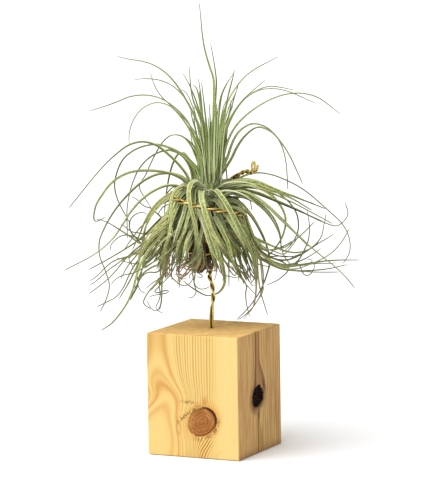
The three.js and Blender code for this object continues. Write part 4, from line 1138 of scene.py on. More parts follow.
# Painted shade in the hollows.
skirt += [rooted_leaf(skirt_random, *row, youth_and_shade=HOLLOW_SHADE) for row in SHADE_STRIPS]
# Painted highlights along the rims.
skirt += [rooted_leaf(skirt_random, *row, RIM_HIGHLIGHT) for row in RIM_HIGHLIGHT_STRIPS]
grow_leaves("skirt_leaves", skirt)

# Young leaves of the heart
# Narrow leaves that stand close together in the middle of the tuft, fresh green, with strips painted dark
# as shade in the gaps and edges painted light as highlights between. They spring from the stem's top among
# the blades.
TUFT_FILL = [
    (132, 4, 2, [(0, 132.3), (-1.6, 145.9), (-2.5, 154.1), (-3.9, 163.2), (-5, 171.4), (-5.8, 179.5)]),
    (132, -4, 2, [(0.2, 132.3), (-1.2, 147.3), (-2, 156.4), (-3.2, 171.4), (-4.1, 178.2), (-4.8, 184.1)]),
    (132, 6, 2.2, [(0.4, 132.3), (-0.5, 147.3), (-0.8, 156.4), (-1.4, 166.8)]),
    (132, -8, 2, [(0.6, 132.3), (0, 147.3), (-0.2, 156.4), (-0.5, 166.8), (-0.9, 173.6)]),
    (132, 10, 2.4, [(0.9, 132.3), (0.6, 145), (0.7, 154.1), (1.3, 169.5)]),
    (132, 8, 2.2, [(2, 132.3), (2.5, 145), (2.5, 154.1), (2.8, 173.6)]),
    (132, -4, 2, [(2.5, 132.3), (3.1, 145), (3.4, 154.1), (3.8, 169.5), (4.7, 175.9), (6.1, 180),
     (8.4, 184.1), (10.6, 187.3), (11.8, 189.5)]),
    (132, 3, 2, [(2.7, 132.3), (3.8, 145), (4.3, 154.1), (5.2, 162.3), (7.7, 173.6), (9.3, 179.5),
     (11.5, 188.2)]),
    (132, -8, 1.9, [(2.9, 131.8), (4.3, 145), (5.2, 154.1), (6.3, 162.3), (9.3, 172.3), (11.1, 175.9),
     (13.8, 182.3)]),
    (131, 16, 2.6, [(2.5, 132.3), (3.6, 142.7), (4.3, 151.8), (4.5, 160.5), (5.2, 166.8), (6.5, 172.3),
     (8.1, 175.5)]),
    (131, 14, 2.4, [(2.9, 131.8), (4.7, 142.7), (5.6, 151.8), (6.5, 159.5), (8.1, 165.5), (11.1, 172)]),
    (131, 12, 2.2, [(-0.3, 131.8), (-2.1, 142.7), (-3.2, 151.8), (-4.4, 158.6), (-5.8, 168.2)]),
    (131, 10, 2.1, [(0.2, 131.8), (-1, 142.7), (-1.9, 151.8), (-2.8, 160.5), (-4.1, 167.7)]),
    (132, -14, 1.6, [(-0.7, 131.8), (-2.3, 140.5), (-3.9, 148.6), (-6.4, 160.5), (-7.8, 167.7), (-9.4, 172.3),
     (-12.1, 178.2), (-13.9, 179.8), (-15.7, 180.2)]),
    (131, 5, 2, [(3.4, 131.8), (4.7, 140.5), (6.1, 149.5), (7.5, 161.4), (8.8, 167.7), (10, 173.6),
     (9.5, 175.5)]),
    (131, -3, 2.1, [(3.8, 131.8), (5.6, 141.4), (7, 150.5), (8.8, 163.2), (11.5, 169.5)]),
    (131, 12, 2, [(1.1, 131.8), (0.4, 140.5), (0.1, 149.5), (0.4, 165.5)]),
    (131, 11, 2, [(2.2, 131.8), (3.4, 138.2), (4, 149.5), (3.7, 165.5)]),
    (131, 8, 2.7, [(-2.1, 131.8), (-2.5, 135.9), (-3.5, 142.7), (-4.6, 148.2), (-7.1, 154.1), (-10.7, 160.5),
     (-14.4, 165.9), (-18, 170.5)]),
    (130, 2, 2.2, [(-4.4, 133.6), (-7.5, 141.4), (-11.6, 145.9), (-18, 150), (-23, 151.6)]),
    (130, -6, 2.2, [(-3, 134.5), (-5.7, 145.5), (-8.9, 152.3), (-13.5, 156.4), (-18, 157.7)]),
]
# Narrow strips painted dark as the shade in the gaps of the tuft.
TUFT_SHADE_STRIPS = [
    (131, 17, 1.7, [(3.2, 133), (3.6, 138), (3.8, 143), (4, 148), (4.4, 153)]),
    (131, 15, 1, [(-1.8, 134), (-2.2, 139), (-2.4, 144), (-2.9, 149), (-3.6, 154)]),
    (131, 11, 1.1, [(4.6, 134), (5.2, 140), (5.8, 146), (6.6, 152), (7.4, 158)]),
    (132, 10, 1.1, [(-1.8, 138), (-3.2, 147), (-4.1, 154), (-4.8, 160), (-5.4, 167)]),
]
# Fresh leaves whose edges are painted pale as highlights.
TUFT_LIGHT = [
    (131, 18, 1.3, [(-2.2, 133), (-2.9, 138), (-3.4, 143), (-4, 148), (-4.8, 153), (-5.8, 158)]),
    (132, 18, 1.7, [(1.4, 133), (1.5, 139), (1.5, 146), (1.6, 153), (1.7, 160), (1.7, 167)]),
    (132, 17, 1.3, [(-0.7, 133), (-0.9, 139), (-0.9, 146), (-1, 153), (-1.2, 160)]),
    (131, 15, 1.2, [(4.5, 133), (5, 139), (5.4, 145), (5.8, 151), (6.4, 157), (7.2, 163)]),
    (132, 14, 1, [(2.2, 134), (2.6, 142), (2.8, 150), (3, 158), (3.4, 166), (4, 172)]),
    (132, 14, 0.9, [(-1.6, 134), (-2.4, 143), (-3.2, 151), (-4, 158), (-4.8, 164)]),
    (132, 13, 1, [(3.6, 146), (4.5, 153), (5.8, 160), (7.2, 166), (8.6, 171)]),
]
# Each set's dryness and youth: below 0 they paint highlights and shade.
TUFT_LOOKS = ((TUFT_FILL, 0, 1), (TUFT_SHADE_STRIPS, 0, -0.75), (TUFT_LIGHT, -0.45, 0.5))
tuft_random = random.Random(27)
grow_leaves("tuft_fill", [
    rooted_leaf(tuft_random, *row, *looks) for rows, *looks in TUFT_LOOKS for row in rows])

# Old leaves at the left
# Thinner leaves from low on the stem that sweep down to the left and end in loose, curling threads.
# A few of them have begun to dry.
OLD_WIDEN = 1.15
LEFT_DRYNESS = (0, 0, 0.1, 0.25)
LEFT_LEAVES = [
    (126, -4, 2.3, [(-16, 126.5), (-20, 126.3), (-24, 123.8), (-27.5, 120.3), (-30.3, 116.2), (-32.5, 111.8),
     (-33.8, 107.5), (-34.4, 103), (-35.2, 98.5)]),
    (126, -8, 2.2, [(-16, 128), (-20, 127.8), (-24.2, 125.5), (-28, 122), (-31, 117.8), (-33.6, 113),
     (-35.4, 108.4), (-37.5, 104), (-39.5, 99.5)]),
    (127, -10, 2, [(-18.6, 128.6), (-23.6, 125.5), (-27.6, 121.6), (-30.8, 116.4), (-33.6, 112.9),
     (-36.5, 110), (-38.6, 106.8), (-41.5, 103), (-43.6, 99.6)]),
    (122, 10, 1.5, [(-22.9, 111.4), (-27.2, 108.2), (-30.8, 105), (-34.4, 101.8), (-36.9, 99.3),
     (-39.4, 97.9), (-41.5, 96.8), (-45.4, 95.7), (-49, 94.3), (-51.9, 92.1), (-54.4, 89.6), (-56.9, 87.1),
     (-59.4, 85.2), (-61.5, 84.3)]),
    (120, -14, 1.4, [(-25.8, 107.9), (-30.1, 105), (-34.4, 101.4), (-38.6, 98.6), (-41.5, 96.8), (-44.4, 95),
     (-47.2, 92.9), (-50.8, 90.4), (-53.6, 87.9), (-56.1, 85.7), (-58.6, 83.6), (-61.5, 82.3)]),
    (119, 16, 1.5, [(-21.5, 111.4), (-25.4, 108.6), (-29.4, 105.7), (-33.3, 103.5), (-35.8, 103.4),
     (-38.6, 105.4), (-41.5, 107.5), (-44.4, 109.3), (-47.2, 111.1), (-50.1, 112.9), (-52.9, 114.3),
     (-56.1, 115.2), (-58.1, 115.7)]),
    (117, -22, 1.3, [(-22.2, 105), (-27.2, 102.9), (-30.8, 101.4), (-33.3, 101.8), (-35.8, 104.3),
     (-38.1, 106.6), (-39.9, 108.8), (-40.8, 111.4), (-40.6, 114.3), (-39.4, 116.5), (-37.2, 118.1),
     (-34.9, 118.8), (-32.8, 118.4), (-31.1, 117.1)]),
    (115, -26, 1.2, [(-23.6, 102.1), (-29.4, 102.9), (-34.4, 105), (-38.6, 106.8), (-42.9, 107.5),
     (-45.8, 106.6), (-48.1, 104.8), (-49.7, 102.9), (-50.4, 100.9), (-49.7, 99.3)]),
    (124, -20, 1.2, [(-22.9, 115), (-26.5, 117.9), (-29.4, 120.4), (-30.8, 121.2), (-32.9, 121.7),
     (-34.7, 122.9), (-36.5, 124.8), (-38.6, 126.2), (-40.4, 126.5)]),
    (120, 20, 1.8, [(-22.2, 113.6), (-27.2, 110), (-30.8, 105.7), (-32.9, 102.1), (-34.4, 98.9),
     (-35.6, 95.7), (-36.9, 92.1), (-38.6, 88.6), (-40.4, 85), (-42.6, 81.1), (-44.4, 78.2), (-46.3, 75)]),
    (118, 12, 1.6, [(-22.9, 110.7), (-27.6, 107.1), (-31.1, 103.6), (-33.6, 100.4), (-35.7, 97.9),
     (-36.2, 94.3), (-36.9, 90.4), (-36.9, 86.8), (-36.4, 83.6), (-36.9, 81.4), (-38.6, 78.2),
     (-40.4, 74.8)]),
    (116, 18, 1.8, [(-21.5, 105), (-23.3, 99.3), (-24.4, 95), (-26.1, 92.7), (-28.6, 91.8), (-31.1, 90.4),
     (-33.6, 88.6), (-35.2, 86.4), (-36.3, 83.6), (-37.6, 80.7), (-39.4, 77.5), (-40.6, 74.6)]),
    (114, 8, 1.4, [(-21.5, 102.9), (-22.9, 97.9), (-24.2, 93.9), (-25.1, 91.1), (-26.3, 89.3), (-28.3, 88.8),
     (-30.8, 88.9), (-33.3, 87.9), (-35.2, 85.7), (-36.5, 83.2)]),
    (119, -8, 1.5, [(-21.9, 107.1), (-23.6, 102.9), (-25.8, 99.6), (-28.3, 96.8), (-30.8, 94.3),
     (-33.3, 92.9), (-36.5, 93.4), (-38.6, 93.1), (-40.4, 93.6), (-42.6, 94), (-45.4, 94.8)]),
    (121, -12, 1.7, [(-21.5, 110), (-23.3, 102.9), (-25.4, 100.3), (-27.9, 97.8), (-30.1, 95.6),
     (-32.2, 94.2), (-35.4, 93.1), (-38.6, 93)]),
    (117, 6, 1.6, [(-21.1, 101.4), (-22.9, 99.6), (-25.4, 97.1), (-28.3, 94.5), (-30.8, 92.5),
     (-33.5, 90.5)]),
    (122, 14, 1.8, [(-21.5, 117.1), (-25.8, 113.4), (-29.4, 110), (-32.2, 106.4), (-34, 102.9), (-35.8, 100),
     (-38.3, 98.4), (-40.4, 96.6), (-44.7, 95.6), (-47.9, 96.4)]),
    (121, -16, 1.7, [(-21.1, 112.9), (-24.7, 110), (-27.2, 107), (-30.1, 104.1), (-32.9, 101.2),
     (-35.8, 98.9), (-38.6, 95.7), (-41.5, 92.1), (-43.6, 88.6), (-45.4, 85)]),
    (120, 8, 1.7, [(-21.1, 110), (-24, 107.7), (-26.9, 104.8), (-29.4, 101.2), (-31.1, 97.7), (-33.3, 94.3),
     (-34.4, 90.7), (-35, 87.9), (-36.5, 83.9), (-38.6, 80)]),
    (118, 20, 1.6, [(-20.8, 107.1), (-23.6, 105), (-26.3, 102), (-28.3, 98.4), (-30.4, 95.7), (-32.9, 93.9),
     (-34, 90.7)]),
    (115, 16, 1.9, [(-19.4, 107.9), (-21.1, 102.1), (-22.4, 97.9), (-23.1, 93.6), (-23.8, 90), (-24.4, 85.7),
     (-24.6, 80), (-24.7, 74.8), (-25.8, 69.3)]),
    (114, 10, 1.7, [(-18.6, 105), (-20.4, 100.7), (-21.9, 96.4), (-22.6, 92.9), (-23.6, 88.6), (-25.4, 85),
     (-28.3, 81.8), (-30.1, 79.6)]),
    (112, -10, 1.1, [(-23.6, 87.1), (-25.4, 82.5), (-28.3, 78.9), (-26.3, 78.7), (-24.4, 79.3), (-22.2, 79.9),
     (-21.1, 79.6), (-22, 78.6), (-24.7, 78), (-27.9, 77.5), (-31.5, 76.4)]),
    (112, -6, 1.1, [(-32.9, 92.5), (-35.1, 88.9), (-36.3, 85.4), (-36.5, 82.5), (-35.4, 80), (-33.8, 78.7),
     (-32, 78.2)]),
    (113, 24, 1.2, [(-25.8, 95.7), (-30.8, 92.9), (-34.4, 90.7), (-36.9, 89.3), (-39.7, 88.2), (-42.9, 87.7),
     (-46.1, 86.4), (-48.6, 84.5), (-50.2, 82.1)]),
    (114, -18, 1, [(-36.5, 98.6), (-40.1, 96.8), (-41.1, 95.5), (-40.4, 93.9), (-39.4, 92.1), (-38.6, 89.6)]),
    (122, -24, 1.3, [(-22.2, 114.3), (-27.2, 110.7), (-31.5, 107.9), (-36.5, 108.6), (-40.1, 109.3),
     (-43.6, 112.1), (-45.8, 113.2)]),
]


def old_leaves(rng, rows, dryness, widen=1):
    """The leaves of these rows, each as dry as one of the choices."""
    leaves = []
    for height, depth, width, course in rows:
        dryness_and_rim_light = rng.choice(dryness)
        leaves.append(rooted_leaf(rng, height, depth, width * widen, course, dryness_and_rim_light))
    return leaves


grow_leaves("left_leaves", old_leaves(random.Random(22), LEFT_LEAVES, LEFT_DRYNESS, OLD_WIDEN))

# Old leaves at the right
# Their ends rise again into long open curls, seen against the light under the arching leaves. Three of
# them are painted dark as shade and darken the edge of the arches.
RIGHT_DRYNESS = (0, 0, 0.15)
RIGHT_LEAVES = [
    (131, 8, 2.6, [(5.5, 131.8), (9, 133), (13, 134), (17, 134.3), (21, 134), (25, 133), (29, 131.5),
     (33, 129.9), (37, 128.3), (42, 126.6), (47, 124.6), (52, 123)]),
    (130, 2, 2.4, [(5, 130.6), (9, 131.8), (13, 132.6), (17, 132.9), (21, 132.6), (25, 131.5), (29, 130),
     (33, 128.8), (37, 127.3), (42, 124.9), (47, 121.9), (51, 119.5)]),
    (130, 6, 2.2, [(4, 129.6), (8, 130.6), (12, 131.2), (16, 131.4), (20, 131.2), (24, 130.5), (28, 128.9),
     (31, 127), (33.5, 124.3), (35.8, 120.5), (37, 116.5)]),
    (129, -4, 2, [(6, 129.8), (11, 130.4), (15.5, 130), (20, 129.3), (25, 128), (30, 125.8), (33.5, 124.2),
     (40, 121.3), (45, 119), (51, 116.5), (56, 114.3)]),
    (128, 10, 2.4, [(4, 128.6), (8, 129.3), (12, 129.3), (16, 128.7), (20, 127.5), (25, 124.5), (30, 120.5),
     (35, 116), (40, 111), (45, 105.5), (49, 101.5)]),
    (127, 6, 2.3, [(4, 127.2), (8, 128), (12, 128), (16, 127), (20, 125.6), (24, 123.2), (28, 119.8),
     (31, 116.2), (33, 112.5), (34.5, 108), (35, 103), (34.5, 99)]),
    (125, 3, 1.9, [(6, 122.5), (9, 124.2), (12, 124.7), (15, 123.4), (18, 120.3), (21, 116.5), (24, 111.5),
     (26.5, 106.5), (28, 102.5)]),
    (128, 12, 2, [(18.2, 132.5), (24.5, 130.4), (28.7, 128.3), (32, 125.4), (34.7, 122.1), (36.6, 118.3),
     (37.3, 115), (37, 111.2), (35.8, 107.1), (34.1, 103.8), (31.6, 100.4), (29.1, 97.5), (26.6, 95.2),
     (24.5, 93.8)]),
    (120, 24, 1.3, [(17, 111.7), (22, 105.8), (26.2, 101.7), (32, 99.2), (36.6, 97.9), (39.1, 100.4),
     (41.8, 103.8), (43, 105.8), (44.1, 109.2)]),
    (126, -22, 1.3, [(23.7, 96.7), (29.5, 92.9), (35.3, 91.5), (38.7, 91.5), (41.6, 93.1), (44.1, 95.4),
     (45.8, 98.3), (47.4, 101.7), (48.7, 105), (49.2, 109.2), (49.2, 112.9), (48.5, 117.1), (48, 120.4)]),
    (124, -16, 1.3, [(18.7, 106.7), (24.5, 100), (31.2, 95.8), (37.8, 95), (43.7, 97.1), (48.7, 100),
     (53.2, 103.8), (55.1, 106.7), (56, 109.6), (56.5, 112.9), (57.2, 115.8), (57.4, 118.8)]),
    (125, 8, 1.5, [(17, 112.5), (21.2, 107.1), (24.5, 104.2), (27.8, 103.1), (31.6, 101.6), (35.3, 100.1),
     (38.7, 99.1), (42, 98.7), (45.3, 99), (47.8, 99.8), (50.3, 101), (53, 102.9), (56.2, 104.8),
     (59.1, 106.5), (62, 108.5)]),
    (120, -8, 1.4, [(19.5, 103.3), (24.5, 98.3), (29.5, 94.6), (34.5, 92.5), (37.8, 91.9), (41.2, 92.7),
     (44.1, 94.4), (47, 95.6), (49.9, 97.3), (52.8, 99.2), (55.5, 101.2)]),
    (124, 16, 1.7, [(17.4, 109.2), (20.8, 105.4), (24.1, 102.3), (26.6, 100.4), (29.5, 100.1), (32.8, 100.4),
     (35.3, 101.5), (38.7, 103.3), (41.2, 105)]),
    (121, -18, 1.4, [(17.8, 105.8), (22.8, 101.7), (27.8, 99.5), (30.8, 98), (34.1, 97), (37.4, 96.6),
     (40.8, 96.8), (43.2, 97.4), (45.3, 98.6)]),
    (119, 4, 1.4, [(18.7, 103.3), (23.7, 99.6), (28.7, 97), (32, 95.5), (34.5, 94.9), (36.6, 94.3)]),
    (118, -12, 1.2, [(19.5, 101.7), (24.5, 97.9), (30.3, 96.8), (34.5, 97), (39.1, 96.7), (43.2, 96)]),
    (120, 20, 1.7, [(17.8, 106.7), (22, 100.8), (26.2, 97.1), (28.7, 95.4), (30.8, 93.8), (34.5, 92.3),
     (38.7, 91.8), (42.8, 92.2), (47, 93), (50.3, 93.9), (51, 94.7), (49.5, 95.3), (47.4, 95)]),
    (119, -26, 1.6, [(18.7, 104.2), (23.7, 97.5), (27.8, 93.8), (32, 91.7), (36.2, 90.3), (41.2, 89.7),
     (47, 89.6), (52, 89.9), (57, 90.4), (61.2, 91.1), (64.9, 92), (69.1, 92.9)]),
    (118, 10, 1.5, [(20.3, 101.7), (26.2, 97.1), (32, 93.8), (37.8, 92.3), (43.7, 92.5), (47.8, 93.1),
     (52, 93.8), (56.2, 94.4), (60.3, 94.8), (65.3, 95), (70.3, 95), (75.1, 95)]),
    (117, -20, 1.1, [(22.8, 96.7), (29.5, 93.3), (37, 91.5), (43.7, 92.1), (49.5, 92.9), (55.3, 93.3),
     (59.9, 93.3), (63.2, 93.8)]),
    (116, 14, 1.3, [(21.2, 99.2), (27, 95), (33.7, 92.5), (39.5, 92.9), (42.8, 93.3), (44.6, 92.1),
     (45.2, 90), (46.2, 88.1), (48, 87.1), (49.7, 88), (51.2, 90), (51.8, 92.5), (51, 94.4)]),
    (118, -14, 1.5, [(21.2, 102.5), (26.2, 97.9), (32, 95.4), (36.2, 93.8), (38.7, 91.5), (38.3, 89.3),
     (36.2, 87.2), (33.7, 85.2), (30.8, 83.7), (27.2, 82.3)]),
    (116, 18, 1.4, [(20.3, 103.3), (22.8, 99.6), (24.5, 95), (25, 91.2), (25.3, 87.9), (25.6, 84.2),
     (26.2, 80.8), (25.4, 77.9), (24.4, 75.6)]),
    (115, -4, 1.2, [(19.1, 99.2), (22.4, 93.8), (25.8, 92.3), (28.7, 91.7), (30.3, 91.2)]),
    (123, 18, 2, [(14.5, 120), (17, 115.8), (19.1, 110.8), (21, 105.8), (22.4, 100.8), (23.2, 95.8),
     (23.3, 91.7), (22.9, 87.5), (22, 82.9)]),
    (121, 12, 1.9, [(13.7, 116.7), (16.2, 112.5), (18.2, 107.5), (20.1, 102.5), (21.4, 97.5), (22, 92.9),
     (21.9, 88.3), (21, 84.6), (19.5, 82.9)]),
    (122, -6, 2, [(16.2, 118.8), (18.2, 114.6), (20.1, 110), (22, 105.4), (23.9, 101.7), (26, 98.3),
     (28.2, 95.4)]),
    (120, -10, 1.9, [(16.6, 115), (19.1, 110.8), (21, 106.7), (22.8, 102.5), (24.9, 98.8), (27.4, 95.8),
     (30.8, 92.9), (35.3, 90.8)]),
]
# Leaves painted dark as shade at the edge of the arches.
RIGHT_SHADES = [
    (129, 12, 1.9, [(10, 130.8), (17, 130), (24, 127.8), (31, 125), (38, 122), (44, 119.5), (50, 117)]),
    (122, 20, 1.6, [(16.4, 117.5), (18.3, 112.5), (20, 108), (22, 103.5), (24.5, 100), (27.5, 97.5)]),
    (119, 12, 1.6, [(12.4, 117), (14, 113), (15.6, 108.6), (17.4, 104), (19, 99.6)]),
]
right_random = random.Random(23)
right_leaves = old_leaves(right_random, RIGHT_LEAVES, RIGHT_DRYNESS, OLD_WIDEN)
# Painted shade under the arches.
right_leaves += [rooted_leaf(right_random, *row, youth_and_shade=HOLLOW_SHADE) for row in RIGHT_SHADES]
grow_leaves("right_leaves", right_leaves)

# Threads under the plant
# The oldest leaves, from the foot of the stem. They hang round the wire in loops, some of them withered.
# Half-dry strands and dark husks, their darkness partly painted shade, lie over the stump.
LOW_DRYNESS = (0, 0.2, 0.5)
STRAND_DRYNESS = (0.2, 0.7)
HUSK_AND_SHADE = 1.45
LOW_LEAVES = [
    (110, 16, 1.9, [(-6.5, 104), (-6.3, 100.5), (-6.3, 97), (-6.7, 93), (-7.4, 89.6), (-8.4, 87)]),
    (110, 17, 1.8, [(-4.8, 104), (-5.2, 100.6), (-6.6, 97), (-8.8, 94.6), (-11.8, 93), (-14.8, 92.6),
     (-17.6, 93.6), (-19.6, 95.6)]),
    (108, 16, 1.3, [(-22.8, 96.7), (-22.9, 92.1), (-22.2, 89.2), (-20.1, 86.9), (-17.8, 84.6), (-15.5, 82.8),
     (-13.4, 82.2), (-11.3, 82.8), (-9.5, 84.8), (-8.8, 87.1), (-9.7, 89)]),
    (106, 18, 1.2, [(-9.3, 96.7), (-9.4, 92.1), (-9.3, 88.6), (-8.8, 85.9), (-8.4, 83.6), (-7.4, 81.7),
     (-5.7, 80.6), (-3.8, 80.5), (-1.8, 81.1), (-0.3, 82.4)]),
    (107, 8, 1.2, [(-9, 96.7), (-8.6, 91.3), (-8, 87.5), (-8.5, 83.6), (-7.8, 80.9), (-7.5, 78.8),
     (-8.5, 77.1), (-9.9, 76.1), (-11.7, 76.3)]),
    (104, 12, 1.1, [(-7.8, 95.9), (-7.9, 91.3), (-7.2, 89.1), (-6, 88.3), (-4.7, 87.5), (-4.3, 86.6),
     (-5.1, 86.3), (-6.5, 86.5), (-7.6, 86.6)]),
    (108, 14, 1.3, [(4.9, 99), (6, 95.9), (7.8, 92.8), (8.9, 90.7), (10.3, 88.6), (11.5, 87.3), (12.5, 87.5),
     (12.3, 88.6), (11.2, 90.7), (9.9, 92.7)]),
    (112, 20, 1.9, [(3.7, 100.5), (4.7, 96.7), (5.7, 93.2), (6.3, 89.8), (6.3, 87.1), (5.7, 84.2)]),
    (105, 14, 1, [(1.4, 96.7), (2.4, 92.8), (2.7, 89.8), (2.4, 87.1), (1.5, 84.5)]),
    (112, -8, 1.2, [(-24, 92.8), (-24, 88.2), (-24.3, 84.8), (-24.5, 81.7), (-24.7, 79), (-24.8, 75.9),
     (-25.3, 72.5), (-26.4, 70.2), (-27.8, 69.5), (-29.5, 70.3), (-31, 72.5), (-32.2, 75.2)]),
    (111, -14, 1.1, [(-24.7, 92.8), (-25.4, 86.3), (-25.9, 82.5), (-25.4, 77.5), (-26.3, 74), (-27.6, 71.3),
     (-26.3, 69.5), (-24.7, 68.8), (-23.5, 68)]),
    (110, 10, 1.5, [(-14, 101.3), (-14.7, 98.2), (-16.3, 95.3), (-18, 92.1), (-19.3, 89.4), (-20.3, 87.5),
     (-22.4, 85.2), (-24.7, 82.8)]),
    (110, -6, 1.4, [(-17.4, 100.5), (-17.7, 96.7), (-18.6, 94), (-19.7, 91.3), (-20.9, 88.6), (-22, 86.3)]),
    (109, 6, 1.3, [(-20.9, 99.8), (-21.4, 96.7), (-21, 94), (-20.8, 91.3), (-20.7, 88.9), (-19.3, 87.5)]),
    (114, 6, 1.4, [(9.9, 96.7), (12.2, 91.7), (14.5, 87.5), (16.6, 84.6), (17.8, 81.7), (17.4, 79),
     (17.4, 75.9), (17.9, 72.5), (18.5, 69.8), (19.5, 66.2)]),
    (116, -6, 1.7, [(11.4, 101.3), (12.6, 98.6), (14.1, 94.7), (16, 90.1), (18, 86.6), (19.5, 83.9), (21, 82),
     (22.3, 82.4)]),
    (112, 16, 1.5, [(5.3, 96.7), (7.2, 94), (9.9, 91.2), (13, 88.1), (15.7, 85.1), (18.3, 82), (20.5, 79.5),
     (22.7, 77.5)]),
    (116, 12, 1.8, [(14.5, 100.5), (16, 96.3), (17.8, 92.4), (19.6, 88.9), (21.4, 86.2), (22.4, 84.4)]),
    (118, 20, 1.7, [(20.7, 99), (21.8, 94.8), (22.6, 90.2), (22.8, 85.9), (22.7, 82.1), (22.4, 78.2),
     (21.9, 74.4), (20.7, 70.9), (18.5, 68.2), (17.1, 66.6), (16.3, 64.8)]),
    (117, -16, 1.5, [(24.5, 95.2), (26, 89), (26, 82.8), (24.5, 77.1), (22, 72.8), (19.3, 69.7), (16.1, 66.8),
     (12.8, 64.7)]),
    (110, 22, 1.4, [(-10.9, 101.3), (-12.4, 97.5), (-14, 94.8), (-16.3, 93.9), (-18.6, 94), (-20.4, 95.2)]),
    (106, 20, 1.3, [(-5.1, 96.7), (-5.9, 93.2), (-7.8, 91.1), (-10.9, 90.3), (-14, 90.7)]),
]
STUMP_STRANDS = [
    (114, 17, 1.4, [(-18, 108.5), (-21, 105), (-22.5, 98.5), (-23.5, 92), (-24.6, 87.2), (-27, 85.4)]),
    (113, 16, 1.3, [(-17, 107), (-20, 103.5), (-21.9, 97), (-23, 90.5), (-24.8, 86.4), (-28.6, 84),
     (-33, 80.4)]),
    (102, 13, 1.3, [(-4.6, 98), (-5, 95.4), (-5.8, 92.6), (-7, 90.2), (-8.4, 88.6)]),
    (101, 12, 1.2, [(-3.8, 97), (-4.1, 94), (-4.8, 91.2), (-6.2, 89)]),
    (102, 14, 1.1, [(-3, 97.6), (-3.2, 95), (-3.5, 92.2), (-4.4, 90)]),
    (103, 15, 1.3, [(-6.2, 97), (-7.6, 94.4), (-9.8, 92.4), (-12.6, 91.6)]),
    (102, 16, 1.2, [(-7.4, 98), (-8.6, 95.2), (-10.6, 93), (-13.6, 92.8)]),
    (100, 12, 1, [(-2.4, 96.6), (-2.5, 94), (-2.1, 91.4), (-1.4, 89.2)]),
    (103, 14, 1.2, [(-5.6, 98.6), (-6.6, 95.6), (-7.4, 92.6), (-9.4, 90.4), (-11.6, 90)]),
]
STUMP_HUSKS = [
    (104, 9, 2.2, [(-2, 103.4), (-0.6, 100), (0.4, 96.4), (0.9, 92.8), (0.4, 90.2)]),
    (103, 8, 2, [(-1.2, 103), (0.2, 99.4), (1.2, 95.4), (1.4, 91.6)]),
    (101, 10, 1.8, [(-1.8, 99.6), (-0.8, 96), (-0.2, 92.6), (-0.8, 89.8)]),
    (104, 7, 1.6, [(-2.6, 103.6), (-1.8, 99.8), (-1.4, 95.6), (-1.6, 91.4)]),
]
low_random = random.Random(24)
low_leaves = old_leaves(low_random, LOW_LEAVES, LOW_DRYNESS)
for row in STUMP_STRANDS:
    low_leaves.append(rooted_leaf(low_random, *row, low_random.uniform(*STRAND_DRYNESS)))
# Husks over the stump, partly painted shade.
low_leaves += [rooted_leaf(low_random, *row, HUSK_AND_SHADE) for row in STUMP_HUSKS]
grow_leaves("low_leaves", low_leaves)

# Withered curls
# Dead leaves at the foot of the stem, dried to pinkish brown straw and curled up in a tangle. Their
# feet are still held by the stem.
DRY_CURLS = [
    (103, 8, 1.2, [(-7.8, 96.7), (-10.9, 94.4), (-14, 92.8), (-16.7, 89.8), (-14.5, 87.4), (-11.7, 88.5),
     (-9.7, 90.1), (-8.5, 91.7)]),
    (102, 14, 1.2, [(-7, 95.9), (-10.1, 92.8), (-11.7, 90.2), (-14, 87.5), (-16.3, 85.5), (-16.6, 84.3),
     (-15.1, 85.9)]),
    (101, 4, 1.1, [(-6.3, 95.5), (-9, 91.3), (-10.8, 89.3), (-12.4, 87.4), (-14.7, 86.2), (-17, 85.5)]),
    (103, 18, 1, [(-8.6, 97.5), (-11.7, 95.2), (-13.9, 92), (-12.3, 90.1), (-12.7, 87.8), (-14.3, 87.4),
     (-16.3, 87.5), (-18.1, 87.8)]),
    (100, 10, 1.1, [(-5.5, 94.8), (-7.8, 93.2), (-10.4, 91.2), (-12.3, 92), (-14.7, 91.2), (-16.6, 89.7)]),
    (102, 2, 1.1, [(-7, 96.7), (-9.7, 94.8), (-10.9, 92.1), (-12.4, 88.9), (-14, 86.6), (-15.1, 84.8),
     (-17, 82.5)]),
    (99, 12, 1.3, [(-2.8, 94.4), (-1.7, 91.7), (-0.3, 90), (1.4, 89.6), (3, 90.7), (3.4, 92.5)]),
    (101, -6, 1, [(3, 93.2), (4.1, 90.1), (5.3, 88.3), (7.6, 87.2), (9.9, 86.6), (12.2, 86.3), (14.2, 86.6)]),
    (100, 12, 1, [(2.2, 94.4), (3.5, 92.1), (4.2, 90), (5, 88.7), (5.8, 89.3)]),
    (102, -8, 1.1, [(-8.6, 95.9), (-12.4, 95.5), (-15.5, 92.8), (-17.4, 89.4), (-16.3, 86.3), (-14, 85.5),
     (-11.7, 86.3)]),
    (100, 0, 1, [(-3.6, 94.8), (-4.3, 91.7), (-6.3, 89.8), (-8.6, 88.9), (-10.5, 87.5), (-10.9, 85.5)]),
    (121, -2, 3.2, [(13, 120.8), (15.4, 119.4), (16.9, 116.4), (17.5, 113), (17.4, 109.6)]),
    (119, -4, 2.4, [(12.6, 118.4), (14.6, 116.8), (15.7, 113.6), (15.9, 110.4)]),
    (101, -12, 1, [(-6.3, 96.7), (-9.3, 95.5), (-12.4, 93.6), (-14.7, 90.2), (-17, 87.8), (-19, 88.2)]),
]
curl_random = random.Random(25)
grow_leaves("withered_curls", [rooted_leaf(curl_random, *row, dryness_and_rim_light=1) for row in DRY_CURLS])

